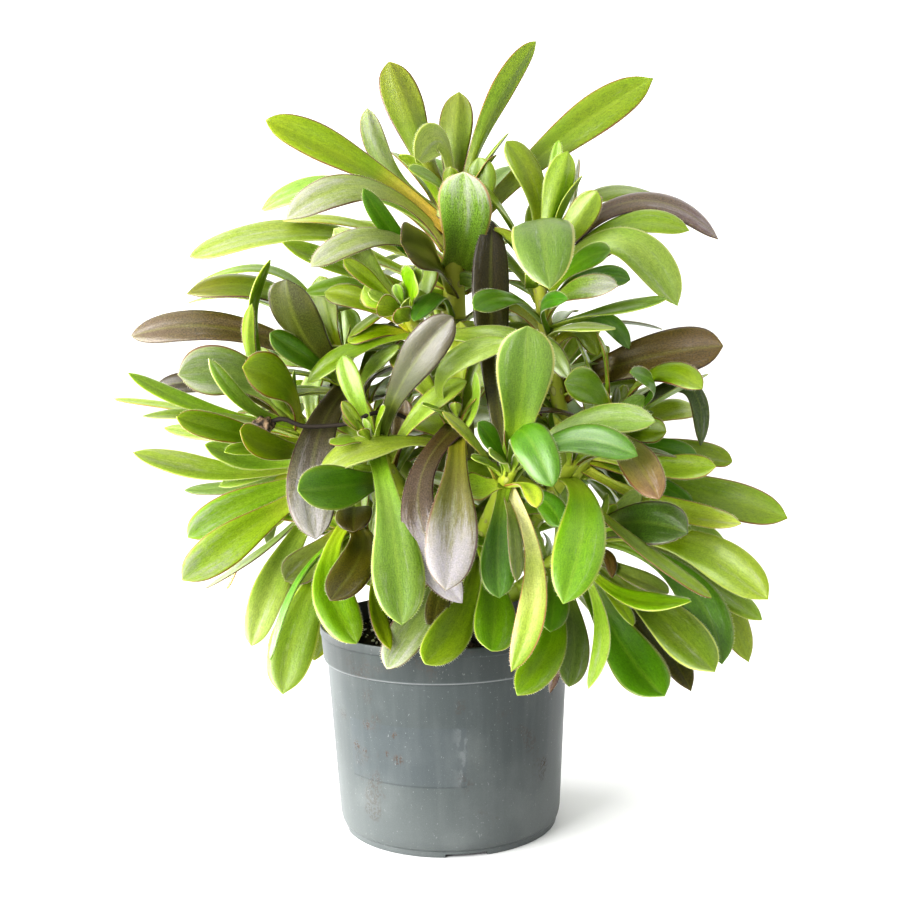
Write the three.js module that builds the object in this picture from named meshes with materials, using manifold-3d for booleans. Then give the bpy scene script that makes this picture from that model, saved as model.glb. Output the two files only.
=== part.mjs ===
// Potted aeonium: a branched shrub of leaf heads on one woody trunk, in a plain tapered nursery pot.
// Millimetres, +Z up, +Y away from the viewer. The origin is the centre of the pot's underside.
import * as THREE from 'three';
import { mergeVertices } from 'three/addons/utils/BufferGeometryUtils.js';
import Module from 'manifold-3d';

const wasm = await Module();
wasm.setup();

// ---- Driving dimensions: pot ----
const POT_HEIGHT = 138;
const RIM_RADIUS = 85;
const POT_WALL = 1.5;
const COLLAR_BOTTOM = 115;
const COLLAR_STEP = 2.3;
const COLLAR_TAPER = 2;
const BEAD_HEIGHT = 131.5;
const BEAD_STEP = 0.7;
const BODY_RADIUS_LOW = 74.4;
const CORNER_HEIGHT = 9;
const CORNER_CUT = 1.2;
const FOOT_RADIUS = 71.8;
const FOOT_HEIGHT = 4;
const FOOT_WIDTH = 3.3;
const FLOOR_THICKNESS = 2;
const NOTCH_COUNT = 4;
const NOTCH_WIDTH = 27;
const NOTCH_HEIGHT = 2.2;
const NOTCH_ANGLE = 8;
const DRAIN_RADIUS = 5;
const DRAIN_CIRCLE = 44;
const DRAIN_COUNT = 6;
const SLOT_WIDTH = 4;
const SLOT_BOTTOM = 121;
const SLOT_TOP = 127;
const POT_SIDES = 32;
const DRAIN_SIDES = 12;
const THROUGH = 12;

// ---- Driving dimensions: soil and stems ----
const GAP = 0.3;
const SOIL_TOP = 125;
const SOIL_MOUND = 4;
const SOIL_RELIEF = 0.8;
const LUMP_PITCH = [0.31, 0.27, 0.19];
const SOIL_SIDES = 26;
const SOIL_RINGS = 4;
const TRUNK_RADIUS = 9;
const TRUNK_LINE = [[4, 8, 92], [6, 10, 150], [12, 8, 215], [13, 6, 280], [9, 4, 338]];
const TRUNK_STEPS = 7;
const BRANCH_STEPS = 3;
// A branch leaves the trunk outwards with this rise, and these shares of its span shape its curve.
const BRANCH_RISE = 0.5;
const LEAVING_SHARE = 0.35;
const ARRIVING_SHARE = 0.4;
const STEM_SIDES = 6;

// ---- Driving dimensions: leaves ----
// The front view is seen from EYE, and leaf rows are read on the upright plane y = 0 in that view.
const EYE = new THREE.Vector3(5, -900, 344);
const VIEW_DISTANCE = 900;
const DEPTH_SCALE = 1.2;
// Each row of BLADE is one cross-section: place along the midrib, half width and thickness as shares.
const BLADE = [
  [0, 0.17, 1.25],
  [0.34, 0.36, 1.1],
  [0.68, 1, 0.9],
  [0.9, 0.66, 0.6],
];
const BLADE_THICKNESS = 2.4;
const CHANNEL = 0.2;
// A leaf in the front view has gone this share of the way to its tip's depth at its middle.
const REACH = 0.62;
// Leaves near the top of a head are rooted this share of its stem lower, one after another.
const ROOT_SPREAD = 0.2;
const ROOT_DEPTH = 0.6;
// A leaf that would meet another is bent by the first of these amounts that clears it.
const BENDS = [0, -8, 8, -16, 16, -25, 25, -36, 36];
const CLEARANCE = 0.5;
const LEAST_OVERLAP = 1e-6;
const FREE_FROM = 0.4;
// Rising leaves: degrees above level for the youngest, how far the oldest hang below it, and their scatter.
const STEEPEST = 68;
const FALL = 100;
const SCATTER = 14;
const GOLDEN_SHARE = 0.618034;
const YOUNG_LENGTH = 0.55;
const YOUNG_WIDTH = 19;
const OLD_WIDTH = 30;
const ARCH = 0.09;
const DROOP = 0.1;
const STEM_USED = 0.85;

// ---- Driving dimensions: the dead root, as x, z and depth in the front view ----
const DRY_ROOT = [
  [-119, 271, -46], [-106, 275, -46], [-92, 270, -46], [-72, 270, -46], [-58, 272, -46],
  [-48, 277, -46], [-37, 278, -40], [-28, 276, -34], [-18, 270, -30],
];
const ROOTED_HEAD = 'left_front_head';
const DRY_ROOT_RADIUS = 1.6;
const DRY_ROOT_STEPS = 14;
const CLOD_RADIUS = 8;
const CLOD_FLATNESS = 0.75;
const CLOD_LUMPS = [0.16, 0.12];

// ---- Small tools ----
const SEED_FACTOR = 16807;
const SEED_RANGE = 2147483647;
const MERGE_DISTANCE = 1e-4;
let seed = 20417;
function random() {
  seed = (seed * SEED_FACTOR) % SEED_RANGE;
  return seed / SEED_RANGE;
}

const vector = (place) => new THREE.Vector3(...place);

// A point read on the front plane, carried along its sight line to the plane y = depth.
function seen(x, z, depth) {
  return new THREE.Vector3(x, 0, z).sub(EYE).multiplyScalar(1 + depth / VIEW_DISTANCE).add(EYE);
}

const placed = ([x, z, depth]) => seen(x, z, depth * DEPTH_SCALE);

function toSolid(geometry) {
  const plain = geometry.clone();
  plain.deleteAttribute('normal');
  plain.deleteAttribute('uv');
  const merged = mergeVertices(plain, MERGE_DISTANCE);
  const vertProperties = Float32Array.from(merged.attributes.position.array);
  const triVerts = Uint32Array.from(merged.index.array);
  return new wasm.Manifold(new wasm.Mesh({ numProp: 3, vertProperties, triVerts }));
}

function toGeometry(solid) {
  const mesh = solid.getMesh();
  const geometry = new THREE.BufferGeometry();
  geometry.setAttribute('position', new THREE.Float32BufferAttribute(mesh.vertProperties, 3));
  geometry.setIndex([...mesh.triVerts]);
  geometry.computeVertexNormals();
  return geometry;
}

function toMesh(name, solid, colour, roughness) {
  const material = new THREE.MeshStandardMaterial({ color: colour, roughness, metalness: 0 });
  const mesh = new THREE.Mesh(toGeometry(solid), material);
  mesh.name = name;
  return mesh;
}

function turned(profile, sides) {
  const points = profile.map(([radius, height]) => new THREE.Vector2(radius, height));
  return toSolid(new THREE.LatheGeometry(points, sides).rotateX(Math.PI / 2));
}

function boxAt(size, position, turn = 0) {
  const box = new THREE.BoxGeometry(...size).translate(...position);
  return toSolid(box.rotateZ(turn));
}

// ---- Pot: a thin moulded shell with a stepped collar, a foot ring and drain holes ----
function buildPot() {
  const bodyTop = RIM_RADIUS - COLLAR_TAPER - COLLAR_STEP;
  const floorTop = FOOT_HEIGHT + FLOOR_THICKNESS;
  const outside = [
    [0, FOOT_HEIGHT],
    [FOOT_RADIUS - FOOT_WIDTH, FOOT_HEIGHT],
    [FOOT_RADIUS - FOOT_WIDTH, 0],
    [FOOT_RADIUS, 0],
    [FOOT_RADIUS, FOOT_HEIGHT],
    [BODY_RADIUS_LOW - CORNER_CUT, FOOT_HEIGHT + 1],
    [BODY_RADIUS_LOW, CORNER_HEIGHT],
    [bodyTop, COLLAR_BOTTOM - BEAD_STEP],
    [RIM_RADIUS - COLLAR_TAPER, COLLAR_BOTTOM],
    [RIM_RADIUS - BEAD_STEP, BEAD_HEIGHT],
    [RIM_RADIUS, BEAD_HEIGHT + BEAD_STEP],
    [RIM_RADIUS, POT_HEIGHT],
  ];
  const inside = [
    [RIM_RADIUS - POT_WALL, POT_HEIGHT],
    [RIM_RADIUS - COLLAR_TAPER - POT_WALL, COLLAR_BOTTOM + POT_WALL],
    [bodyTop - POT_WALL, COLLAR_BOTTOM - POT_WALL],
    [BODY_RADIUS_LOW - CORNER_CUT - POT_WALL, floorTop],
    [0, floorTop],
  ];
  let pot = turned([...outside, ...inside], POT_SIDES);
  for (let i = 0; i < NOTCH_COUNT; i += 1) {
    const turn = THREE.MathUtils.degToRad(NOTCH_ANGLE) + (i / NOTCH_COUNT) * 2 * Math.PI;
    pot = pot.subtract(boxAt([NOTCH_WIDTH, THROUGH, 2 * NOTCH_HEIGHT], [0, -FOOT_RADIUS, 0], turn));
  }
  const slotMiddle = (SLOT_TOP + SLOT_BOTTOM) / 2;
  for (const turn of [0, Math.PI]) {
    const size = [THROUGH, SLOT_WIDTH, SLOT_TOP - SLOT_BOTTOM];
    pot = pot.subtract(boxAt(size, [-RIM_RADIUS, 0, slotMiddle], turn));
  }
  for (let i = 0; i < DRAIN_COUNT; i += 1) {
    const hole = new THREE.CylinderGeometry(DRAIN_RADIUS, DRAIN_RADIUS, THROUGH, DRAIN_SIDES);
    hole.rotateX(Math.PI / 2).translate(DRAIN_CIRCLE, 0, FOOT_HEIGHT);
    hole.rotateZ((i / DRAIN_COUNT) * 2 * Math.PI);
    pot = pot.subtract(toSolid(hole));
  }
  return pot;
}

// ---- Stems: the buried trunk and a branch that curves out to the foot of each leaf head ----
function tube(curve, radius, steps) {
  const section = new THREE.Shape();
  for (let i = 0; i < STEM_SIDES; i += 1) {
    const angle = (i / STEM_SIDES) * 2 * Math.PI;
    const place = [radius * Math.cos(angle), radius * Math.sin(angle)];
    if (i === 0) section.moveTo(...place);
    else section.lineTo(...place);
  }
  section.closePath();
  const options = { steps, bevelEnabled: false, extrudePath: curve };
  return toSolid(new THREE.ExtrudeGeometry(section, options));
}

function trunkCurve() {
  return new THREE.CatmullRomCurve3(TRUNK_LINE.map(vector));
}

// The trunk's line is followed by height, so that a branch can start inside it.
function trunkPoint(height) {
  const curve = trunkCurve();
  let best = curve.getPoint(0);
  for (let i = 0; i <= 100; i += 1) {
    const point = curve.getPoint(i / 100);
    if (Math.abs(point.z - height) < Math.abs(best.z - height)) best = point;
  }
  return best;
}

function branchCurve(head) {
  const start = trunkPoint(head.joins);
  const direction = head.top.clone().sub(head.foot).normalize();
  const end = head.foot.clone().addScaledVector(direction, -GAP);
  const span = start.distanceTo(end);
  const outward = new THREE.Vector3(end.x - start.x, end.y - start.y, span * BRANCH_RISE).normalize();
  const first = start.clone().addScaledVector(outward, span * LEAVING_SHARE);
  const second = end.clone().addScaledVector(direction, -span * ARRIVING_SHARE);
  return new THREE.CubicBezierCurve3(start, first, second, end);
}

function buildStems(heads) {
  let stems = tube(trunkCurve(), TRUNK_RADIUS, TRUNK_STEPS);
  for (const head of heads) {
    if (head.joins) stems = stems.add(tube(branchCurve(head), head.stem, BRANCH_STEPS));
  }
  return stems;
}

// ---- Soil: the peat that fills the pot, mounded and uneven, with a plain hole for the trunk ----
function buildSoil() {
  const floor = FOOT_HEIGHT + FLOOR_THICKNESS + GAP;
  const low = BODY_RADIUS_LOW - CORNER_CUT - POT_WALL - 2 * GAP;
  const high = RIM_RADIUS - COLLAR_TAPER - COLLAR_STEP - POT_WALL - 2 * GAP;
  const profile = [[0, floor], [low, floor], [high, COLLAR_BOTTOM - POT_WALL], [high, SOIL_TOP]];
  for (let i = SOIL_RINGS; i >= 0; i -= 1) {
    const share = i / (SOIL_RINGS + 1);
    profile.push([high * share, SOIL_TOP + SOIL_MOUND * (1 - share * share)]);
  }
  const points = profile.map(([radius, height]) => new THREE.Vector2(radius, height));
  const soil = new THREE.LatheGeometry(points, SOIL_SIDES).rotateX(Math.PI / 2);
  const places = soil.attributes.position;
  for (let i = 0; i < places.count; i += 1) {
    const [x, y, z] = [places.getX(i), places.getY(i), places.getZ(i)];
    const lumps = Math.sin(x * LUMP_PITCH[0]) * Math.cos(y * LUMP_PITCH[1]);
    const swells = Math.sin((x + 2 * y) * LUMP_PITCH[2]) / 2;
    if (z > SOIL_TOP) places.setZ(i, z + SOIL_RELIEF * (lumps + swells));
  }
  const hole = tube(trunkCurve(), TRUNK_RADIUS + GAP, TRUNK_STEPS);
  const sump = boxAt([TRUNK_RADIUS, TRUNK_RADIUS, 4 * GAP], TRUNK_LINE[0]);
  return toSolid(soil).subtract(hole).subtract(sump);
}

// ---- Leaves ----
// A leaf is a spoon-shaped blade on a curved midrib: narrow at its root, widest towards the pointed tip,
// channelled on its upper face and keeled below.
function blade(leaf, swell = 0, from = 0) {
  const chord = leaf.root.clone().add(leaf.tip).multiplyScalar(0.5);
  const bow = leaf.mid.clone().multiplyScalar(2).sub(chord);
  const midrib = new THREE.QuadraticBezierCurve3(leaf.root, bow, leaf.tip);
  const sections = BLADE.filter(([place]) => place >= from);
  const corners = [];
  for (const [place, spread, depth] of sections) {
    const point = midrib.getPoint(place);
    const along = midrib.getTangent(place);
    const up = leaf.face.clone().addScaledVector(along, -leaf.face.dot(along)).normalize();
    const edge = up.clone().cross(along);
    const half = (leaf.width / 2) * spread + swell;
    const sink = half * CHANNEL;
    const thick = BLADE_THICKNESS * depth;
    corners.push(point.clone().addScaledVector(edge, half));
    corners.push(point.clone().addScaledVector(up, swell - sink));
    corners.push(point.clone().addScaledVector(edge, -half));
    corners.push(point.clone().addScaledVector(up, -sink - thick - swell));
  }
  corners.push(midrib.getPoint(1));
  const triangles = [0, 3, 1, 2, 1, 3];
  const last = 4 * (sections.length - 1);
  for (let ring = 0; ring < last; ring += 4) {
    for (let i = 0; i < 4; i += 1) {
      const next = (i + 1) % 4;
      triangles.push(ring + i, ring + next, ring + 4 + next);
      triangles.push(ring + i, ring + 4 + next, ring + 4 + i);
    }
  }
  for (let i = 0; i < 4; i += 1) triangles.push(last + i, last + ((i + 1) % 4), last + 4);
  const geometry = new THREE.BufferGeometry().setFromPoints(corners);
  geometry.setIndex(triangles);
  return toSolid(geometry);
}

// A leaf seen in the front view, from its row: where it leaves the head (0 low, 1 top), the middle and tip
// of its midrib, the tip's depth, its width and how far its upper face is turned from the viewer.
function seenLeaf(head, row, index) {
  const [up, midX, midZ, tipX, tipZ, rowDepth, width, turn] = row;
  const depth = rowDepth * DEPTH_SCALE;
  const lower = up > FREE_FROM ? (ROOT_SPREAD * index) / head.leaves.length : 0;
  const root = head.foot.clone().lerp(head.top, up - lower);
  const midDepth = root.y + (depth - root.y) * REACH;
  const mid = seen(midX, midZ, midDepth);
  const tip = seen(tipX, tipZ, depth);
  const toViewer = EYE.clone().sub(mid).normalize();
  const side = tip.clone().sub(root).cross(toViewer).normalize();
  if (tip.x > root.x) side.negate();
  const angle = THREE.MathUtils.degToRad(turn);
  const face = toViewer.multiplyScalar(Math.cos(angle)).addScaledVector(side, Math.sin(angle));
  const sway = tip.clone().sub(EYE).normalize();
  root.addScaledVector(mid.clone().sub(root).normalize(), head.stem * ROOT_DEPTH);
  return { root, mid, tip, face, sway, width: width * (1 + midDepth / VIEW_DISTANCE) };
}

// The other leaves of a head follow one another round its stem, from short upright ones near the top to
// long, broad, hanging ones below.
function risingLeaf(head, index) {
  const { count, from, to, length } = head.rise;
  const age = (index + 0.5) / count;
  const around = THREE.MathUtils.degToRad(from + ((index * GOLDEN_SHARE) % 1) * (to - from));
  const climb = THREE.MathUtils.degToRad(STEEPEST - FALL * age + SCATTER * (random() - 0.5));
  const grown = YOUNG_LENGTH + (1 - YOUNG_LENGTH) * Math.sqrt(age);
  const reach = length * grown * (0.9 + 0.2 * random());
  const axis = head.top.clone().sub(head.foot).normalize();
  const out = new THREE.Vector3(Math.cos(around), Math.sin(around), 0);
  out.addScaledVector(axis, -out.dot(axis)).normalize();
  const root = head.foot.clone().lerp(head.top, 1 - STEM_USED * age);
  const along = out.clone().multiplyScalar(Math.cos(climb)).addScaledVector(axis, Math.sin(climb));
  const face = axis.clone().addScaledVector(out, -REACH);
  const tip = root.clone().addScaledVector(along, reach);
  const mid = root.clone().addScaledVector(along, reach / 2).addScaledVector(axis, reach * ARCH);
  tip.z -= reach * DROOP * age;
  root.addScaledVector(along, head.stem * ROOT_DEPTH);
  const width = YOUNG_WIDTH + (OLD_WIDTH - YOUNG_WIDTH) * Math.sqrt(age);
  return { root, mid, tip, face, sway: axis, width };
}

// ---- Leaf heads ----
// foot and top are x, z and depth in the front view; joins is the height where the branch leaves the trunk.
const HEADS = {
  crown_head: {
    foot: [10, 340, 4], top: [10, 402, 0], stem: 8, colour: 0x7da02c,
    leaves: [
      [0.9, -50, 441, -110, 470, -25, 23, 30],
      [1, -35, 445, -44, 476, 12, 16, 150],
      [1, -16, 465, -29, 505, 5, 26, 170],
      [1, 13, 458, 16, 485, 15, 22, 180],
      [1, 0, 456, -13, 440, -22, 22, 180],
      [0.6, 2, 428, -18, 437, -38, 13, 80],
      [0.9, 45, 487, 66, 516, 10, 17, 150],
      [0.8, 100, 467, 142, 491, 5, 26, 20],
      [0.8, 78, 448, 112, 468, 32, 19, 60],
      [0.5, 18, 400, 18, 434, -46, 28, 10],
      [0.9, 28, 420, 28, 443, -8, 20, 10],
      [0.8, -50, 426, -99, 406, -40, 24, 30],
      [0.9, -72, 424, -115, 412, 6, 20, 45],
      [0.6, -58, 402, -101, 405, -12, 15, 60],
      [0.3, -30, 397, -48, 425, -46, 20, 0],
      [0.6, -95, 398, -163, 383, -20, 25, 60],
      [0.1, -58, 374, -102, 391, -30, 18, 40],
      [0.5, -38, 393, -84, 375, -56, 18, 30],
      [0.3, -6, 384, -24, 389, -66, 25, 60],
      [0.1, 14, 364, 27, 361, -6, 10, 0],
      [0, -2, 354, -17, 338, -62, 14, 30],
      [0.2, -40, 362, -88, 358, -14, 20, 50],
      [0.1, -42, 352, -84, 343, 2, 18, 60],
      [0.3, -45, 380, -76, 396, 24, 20, 60],
    ],
    rise: { count: 9, from: 5, to: 175, length: 105 },
  },
  right_upper_head: {
    foot: [80, 268, -6], top: [64, 372, -14], joins: 150, stem: 5.5, colour: 0x6f9c2e,
    leaves: [
      [1, 59, 434, 46, 453, -10, 15, 90],
      [1, 78, 422, 86, 446, -22, 20, 160],
      [1, 76, 425, 80, 453, 2, 9, 20],
      [1, 88, 412, 93, 441, 6, 10, 80],
      [1, 42, 410, 22, 432, -22, 13, 80],
      [0.95, 90, 398, 105, 420, -42, 19, 180],
      [1, 118, 421, 163, 403, 26, 22, 60],
      [1, 128, 408, 184, 387, 0, 22, 75],
      [0.95, 132, 397, 165, 393, -20, 20, 45],
      [0.95, 118, 386, 157, 344, -32, 26, 20],
      [0.95, 67, 402, 73, 357, -114, 38, 0],
      [0.85, 94, 375, 113, 381, -62, 16, 20],
      [0.85, 96, 363, 126, 362, -46, 16, 40],
      [0.8, 90, 356, 118, 358, -72, 17, 30],
      [0.75, 106, 342, 150, 349, -56, 18, 60],
      [0.7, 86, 332, 116, 330, -62, 16, 60],
      [0.8, 42, 352, 23, 345, -84, 18, 30],
      [0.65, 93, 328, 104, 312, -22, 13, 0],
      [0.65, 108, 336, 125, 316, -20, 12, 0],
      [0.7, 118, 336, 147, 329, 8, 12, 85],
      [0.75, 70, 348, 85, 350, -78, 11, 20],
      [0.7, 70, 322, 85, 298, -62, 13, 10],
      [0.2, 135, 311, 187, 317, -34, 39, 20],
    ],
    rise: { count: 7, from: -10, to: 120, length: 100 },
  },
  rosette_head: {
    foot: [-8, 318, -12], top: [-22, 344, -40], joins: 262, stem: 4.5, colour: 0x86b032,
    leaves: [
      [1, -40, 362, -50, 380, -30, 18, 150],
      [1, -31, 347, -41, 349, -62, 15, 170],
      [1, -23, 341, -28, 346, -64, 14, 180],
      [1, -22, 356, -22, 365, -46, 12, 180],
      [1, -15, 349, -9, 356, -46, 12, 180],
      [0.5, -40, 332, -61, 325, -32, 16, 45],
      [0.2, -45, 322, -76, 322, -22, 12, 80],
    ],
    rise: { count: 5, from: 30, to: 170, length: 48 },
  },
  left_upper_head: {
    foot: [-50, 278, 0], top: [-64, 304, -8], joins: 205, stem: 5.5, colour: 0x5f8626,
    leaves: [
      [1, -91, 340, -100, 367, -48, 33, 150],
      [1, -112, 358, -166, 359, -22, 26, 45],
      [1, -112, 374, -160, 365, 12, 24, 60],
      [1, -114, 350, -166, 353, -4, 14, 80],
      [1, -140, 334, -204, 332, -10, 24, 30],
      [0.8, -88, 315, -112, 332, -44, 24, 20],
      [1, -60, 322, -62, 347, 20, 20, 150],
      [0.9, -86, 250, -86, 194, -88, 32, 0],
      [0.3, -50, 302, -27, 322, -22, 11, 30],
      [0.5, -44, 303, -26, 308, 24, 9, 80],
      [0.3, -42, 289, -22, 291, 26, 9, 80],
    ],
    rise: { count: 6, from: 60, to: 190, length: 95 },
  },
  left_head: {
    foot: [-66, 232, -4], top: [-97, 274, -16], joins: 170, stem: 5.5, colour: 0x78a52e,
    leaves: [
      [1, -151, 325, -174, 306, -56, 23, 0],
      [0.95, -134, 288, -153, 316, -76, 11, 20],
      [0.9, -108, 300, -131, 310, -64, 29, 20],
      [0.95, -124, 346, -110, 380, -36, 15, 60],
      [0.95, -126, 325, -123, 352, -52, 14, 160],
      [1, -146, 298, -190, 297, -14, 15, 30],
      [0.95, -168, 288, -207, 308, -38, 20, 40],
      [0.85, -165, 283, -217, 291, -4, 13, 70],
      [0.8, -150, 279, -199, 279, -40, 16, 60],
      [0.8, -150, 266, -185, 271, 8, 18, 30],
      [0.7, -140, 267, -176, 278, -62, 19, 30],
      [0.6, -112, 257, -134, 268, -78, 21, 15],
      [0.6, -125, 254, -145, 254, -60, 12, 40],
      [0.5, -135, 250, -158, 259, -34, 18, 30],
      [0.4, -160, 241, -206, 255, -28, 18, 30],
      [0.3, -143, 230, -173, 229, 2, 16, 40],
      [0.3, -125, 238, -150, 231, -18, 11, 30],
      [0.15, -137, 217, -172, 197, -58, 25, 20],
      [0.14, -137, 197, -177, 168, -80, 28, 10],
      [0.14, -126, 184, -162, 162, -52, 15, 60],
      [0.14, -112, 212, -118, 189, 0, 9, 20],
      [0.14, -113, 168, -132, 122, -62, 23, 20],
    ],
    rise: { count: 5, from: 90, to: 200, length: 95 },
  },
  left_low_head: {
    foot: [-34, 168, -8], top: [-64, 208, -26], joins: 147, stem: 5, colour: 0x6d9a2c,
    leaves: [
      [0.8, -98, 140, -112, 88, -76, 32, 10],
      [1, -78, 168, -61, 122, -98, 28, 5],
      [0.9, -57, 182, -78, 152, -108, 26, 10],
      [1, -90, 181, -108, 166, -42, 24, 20],
      [1, -60, 214, -61, 198, -74, 24, 0],
      [0.3, -47, 148, -38, 117, -84, 18, 10],
      [1, -101, 165, -120, 112, -92, 11, 70],
    ],
    rise: { count: 5, from: 95, to: 215, length: 85 },
  },
  left_front_head: {
    foot: [-28, 226, -22], top: [-46, 258, -48], joins: 176, stem: 5, colour: 0x6ea035,
    leaves: [
      [1, -34, 196, -30, 134, -112, 35, 0],
      [0.3, -65, 229, -97, 227, -102, 31, 5],
      [0.9, -24, 300, 9, 340, -78, 27, 10],
      [0.9, -56, 272, -66, 286, -58, 9, 30],
      [1, -57, 260, -70, 262, -50, 9, 50],
      [0.6, -29, 262, -24, 286, -32, 14, 20],
    ],
    rise: { count: 1, from: 100, to: 200, length: 60 },
  },
  trunk_shoot: {
    foot: [12, 240, -26], top: [10, 270, -42], joins: 205, stem: 5, colour: 0xb9b3a4,
    leaves: [
      [0.9, 7, 215, 0, 157, -118, 34, 0],
      [1, -15, 218, 11, 148, -96, 33, 0],
      [0.9, -1, 298, 47, 323, -66, 18, 30],
      [0.8, 24, 284, 23, 304, -62, 8, 40],
      [0.9, -12, 296, -37, 294, 8, 12, 75],
      [1, 8, 306, 22, 337, -16, 20, 150],
    ],
    rise: { count: 2, from: 60, to: 150, length: 60 },
  },
  front_head: {
    foot: [20, 184, -20], top: [45, 238, -68], joins: 150, stem: 5.5, colour: 0x74a42c,
    leaves: [
      [1, 31, 318, 36, 402, -25, 34, 10],
      [1, 54, 288, 58, 333, -106, 37, 0],
      [0.95, 36, 254, 24, 270, -86, 14, 30],
      [0.95, 30, 243, 19, 247, -76, 9, 60],
      [0.9, 30, 228, 14, 226, -72, 22, 30],
      [1, 54, 262, 73, 226, -124, 27, 0],
      [0.95, 36, 190, 36, 151, -106, 24, 0],
      [0.95, 60, 166, 43, 100, -112, 19, 10],
      [0.9, 46, 200, 48, 162, -98, 12, 40],
      [0.95, 58, 224, 62, 212, -108, 12, 10],
      [0.9, 70, 214, 78, 199, -92, 17, 0],
      [0.9, 86, 257, 130, 245, -98, 21, 20],
      [0.95, 98, 269, 142, 268, -80, 21, 20],
      [0.2, 33, 142, 30, 115, -94, 28, 0],
      [0.1, 8, 136, -15, 107, -96, 27, 0],
      [0.1, -14, 143, -41, 104, -84, 27, 10],
      [0.2, -2, 158, -9, 128, -74, 24, 10],
    ],
    rise: { count: 0 },
  },
  right_low_head: {
    foot: [52, 158, -14], top: [100, 196, -40], joins: 146, stem: 6, colour: 0x6c9b2d,
    leaves: [
      [0.9, 133, 200, 163, 192, -92, 33, 20],
      [0.95, 168, 150, 186, 102, -76, 29, 10],
      [1, 186, 142, 204, 103, -44, 23, 20],
      [1, 188, 152, 213, 132, -60, 20, 30],
      [1, 182, 175, 217, 146, -82, 29, 10],
      [1, 172, 191, 190, 180, -38, 16, 30],
      [0.8, 154, 128, 181, 97, -98, 31, 10],
      [0.7, 147, 114, 165, 84, -70, 21, 20],
      [0.8, 124, 110, 147, 81, -108, 33, 10],
      [0.8, 128, 147, 165, 146, -116, 18, 30],
      [0.8, 124, 166, 150, 152, -78, 15, 40],
      [0.8, 103, 128, 95, 87, -122, 15, 30],
      [0.6, 86, 126, 82, 89, -90, 21, 10],
      [0.6, 76, 116, 69, 85, -96, 10, 30],
      [0.8, 114, 150, 126, 130, -82, 10, 20],
      [0.5, 70, 118, 47, 84, -114, 25, 10],
      [0.7, 109, 178, 112, 163, -60, 8, 20],
      [0.4, 73, 150, 70, 127, -86, 20, 0],
    ],
    rise: { count: 4, from: -20, to: 100, length: 95 },
  },
  right_front_head: {
    foot: [64, 208, -22], top: [86, 240, -46], joins: 160, stem: 5, colour: 0x8cb62c,
    leaves: [
      [0.8, 93, 204, 79, 146, -126, 33, 0],
      [0.9, 120, 192, 179, 148, -104, 14, 50],
    ],
    rise: { count: 0 },
  },
  right_head: {
    foot: [84, 228, -2], top: [110, 264, -14], joins: 182, stem: 5, colour: 0x7ba32f,
    leaves: [
      [1, 102, 290, 82, 295, -78, 23, 10],
      [0.95, 78, 275, 53, 273, -22, 12, 80],
      [1, 148, 298, 173, 289, -62, 24, 20],
      [1, 141, 292, 125, 301, -68, 14, 40],
      [1, 138, 274, 156, 287, -30, 12, 30],
      [1, 166, 288, 172, 251, -20, 12, 40],
      [1, 124, 281, 141, 292, 20, 14, 45],
      [1, 116, 280, 121, 293, 14, 12, 45],
      [0.95, 130, 262, 149, 261, -42, 18, 20],
      [1, 126, 246, 144, 216, -106, 24, 0],
      [0.9, 130, 252, 156, 244, -58, 10, 60],
      [0.9, 140, 252, 170, 243, -30, 15, 30],
      [0.85, 158, 248, 193, 240, -18, 17, 30],
      [0.7, 150, 238, 182, 237, -56, 18, 20],
      [0.6, 148, 224, 168, 209, -34, 18, 20],
      [0.7, 188, 214, 230, 201, -46, 27, 20],
      [0.5, 156, 208, 199, 198, -72, 16, 20],
    ],
    rise: { count: 5, from: -20, to: 110, length: 95 },
  },
  back_left_head: {
    foot: [-48, 236, 44], top: [-70, 282, 66], joins: 188, stem: 5, colour: 0x6b962d,
    leaves: [],
    rise: { count: 13, from: 30, to: 235, length: 98 },
  },
  back_right_head: {
    foot: [52, 244, 46], top: [74, 296, 70], joins: 196, stem: 5, colour: 0x6b962d,
    leaves: [],
    rise: { count: 13, from: -60, to: 150, length: 98 },
  },
  back_middle_head: {
    foot: [4, 282, 40], top: [0, 334, 62], joins: 236, stem: 5, colour: 0x76a02c,
    leaves: [],
    rise: { count: 10, from: 15, to: 165, length: 95 },
  },
  back_low_left_head: {
    foot: [-30, 168, 36], top: [-52, 206, 60], joins: 148, stem: 5, colour: 0x66902b,
    leaves: [],
    rise: { count: 12, from: 55, to: 215, length: 105 },
  },
  back_low_right_head: {
    foot: [40, 170, 40], top: [62, 212, 64], joins: 152, stem: 5, colour: 0x66902b,
    leaves: [],
    rise: { count: 12, from: -45, to: 130, length: 105 },
  },
};

// Boxes are compared first, so that only near neighbours are tested as solids.
function boxOf(solid) {
  const { min, max } = solid.boundingBox();
  return new THREE.Box3(vector(min), vector(max));
}

function touches(solid, neighbours) {
  const box = boxOf(solid);
  const near = neighbours.filter((other) => box.intersectsBox(other.box));
  return near.some((other) => solid.intersect(other.solid).volume() > LEAST_OVERLAP);
}

function bent(leaf, amount) {
  const tip = leaf.tip.clone().addScaledVector(leaf.sway, amount);
  const mid = leaf.mid.clone().addScaledVector(leaf.sway, amount / 2);
  return { ...leaf, mid, tip };
}

// A leaf keeps clear of everything that isn't its own head, and its free part of its own head's leaves too.
function settle(leaf, others, own) {
  let second = null;
  for (const amount of BENDS) {
    const trial = bent(leaf, amount);
    if (touches(blade(trial, CLEARANCE), others)) continue;
    if (!touches(blade(trial, CLEARANCE, FREE_FROM), own)) return trial;
    if (!second) second = trial;
  }
  return second;
}

function boxed(solid) {
  return { solid, box: boxOf(solid) };
}

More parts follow.
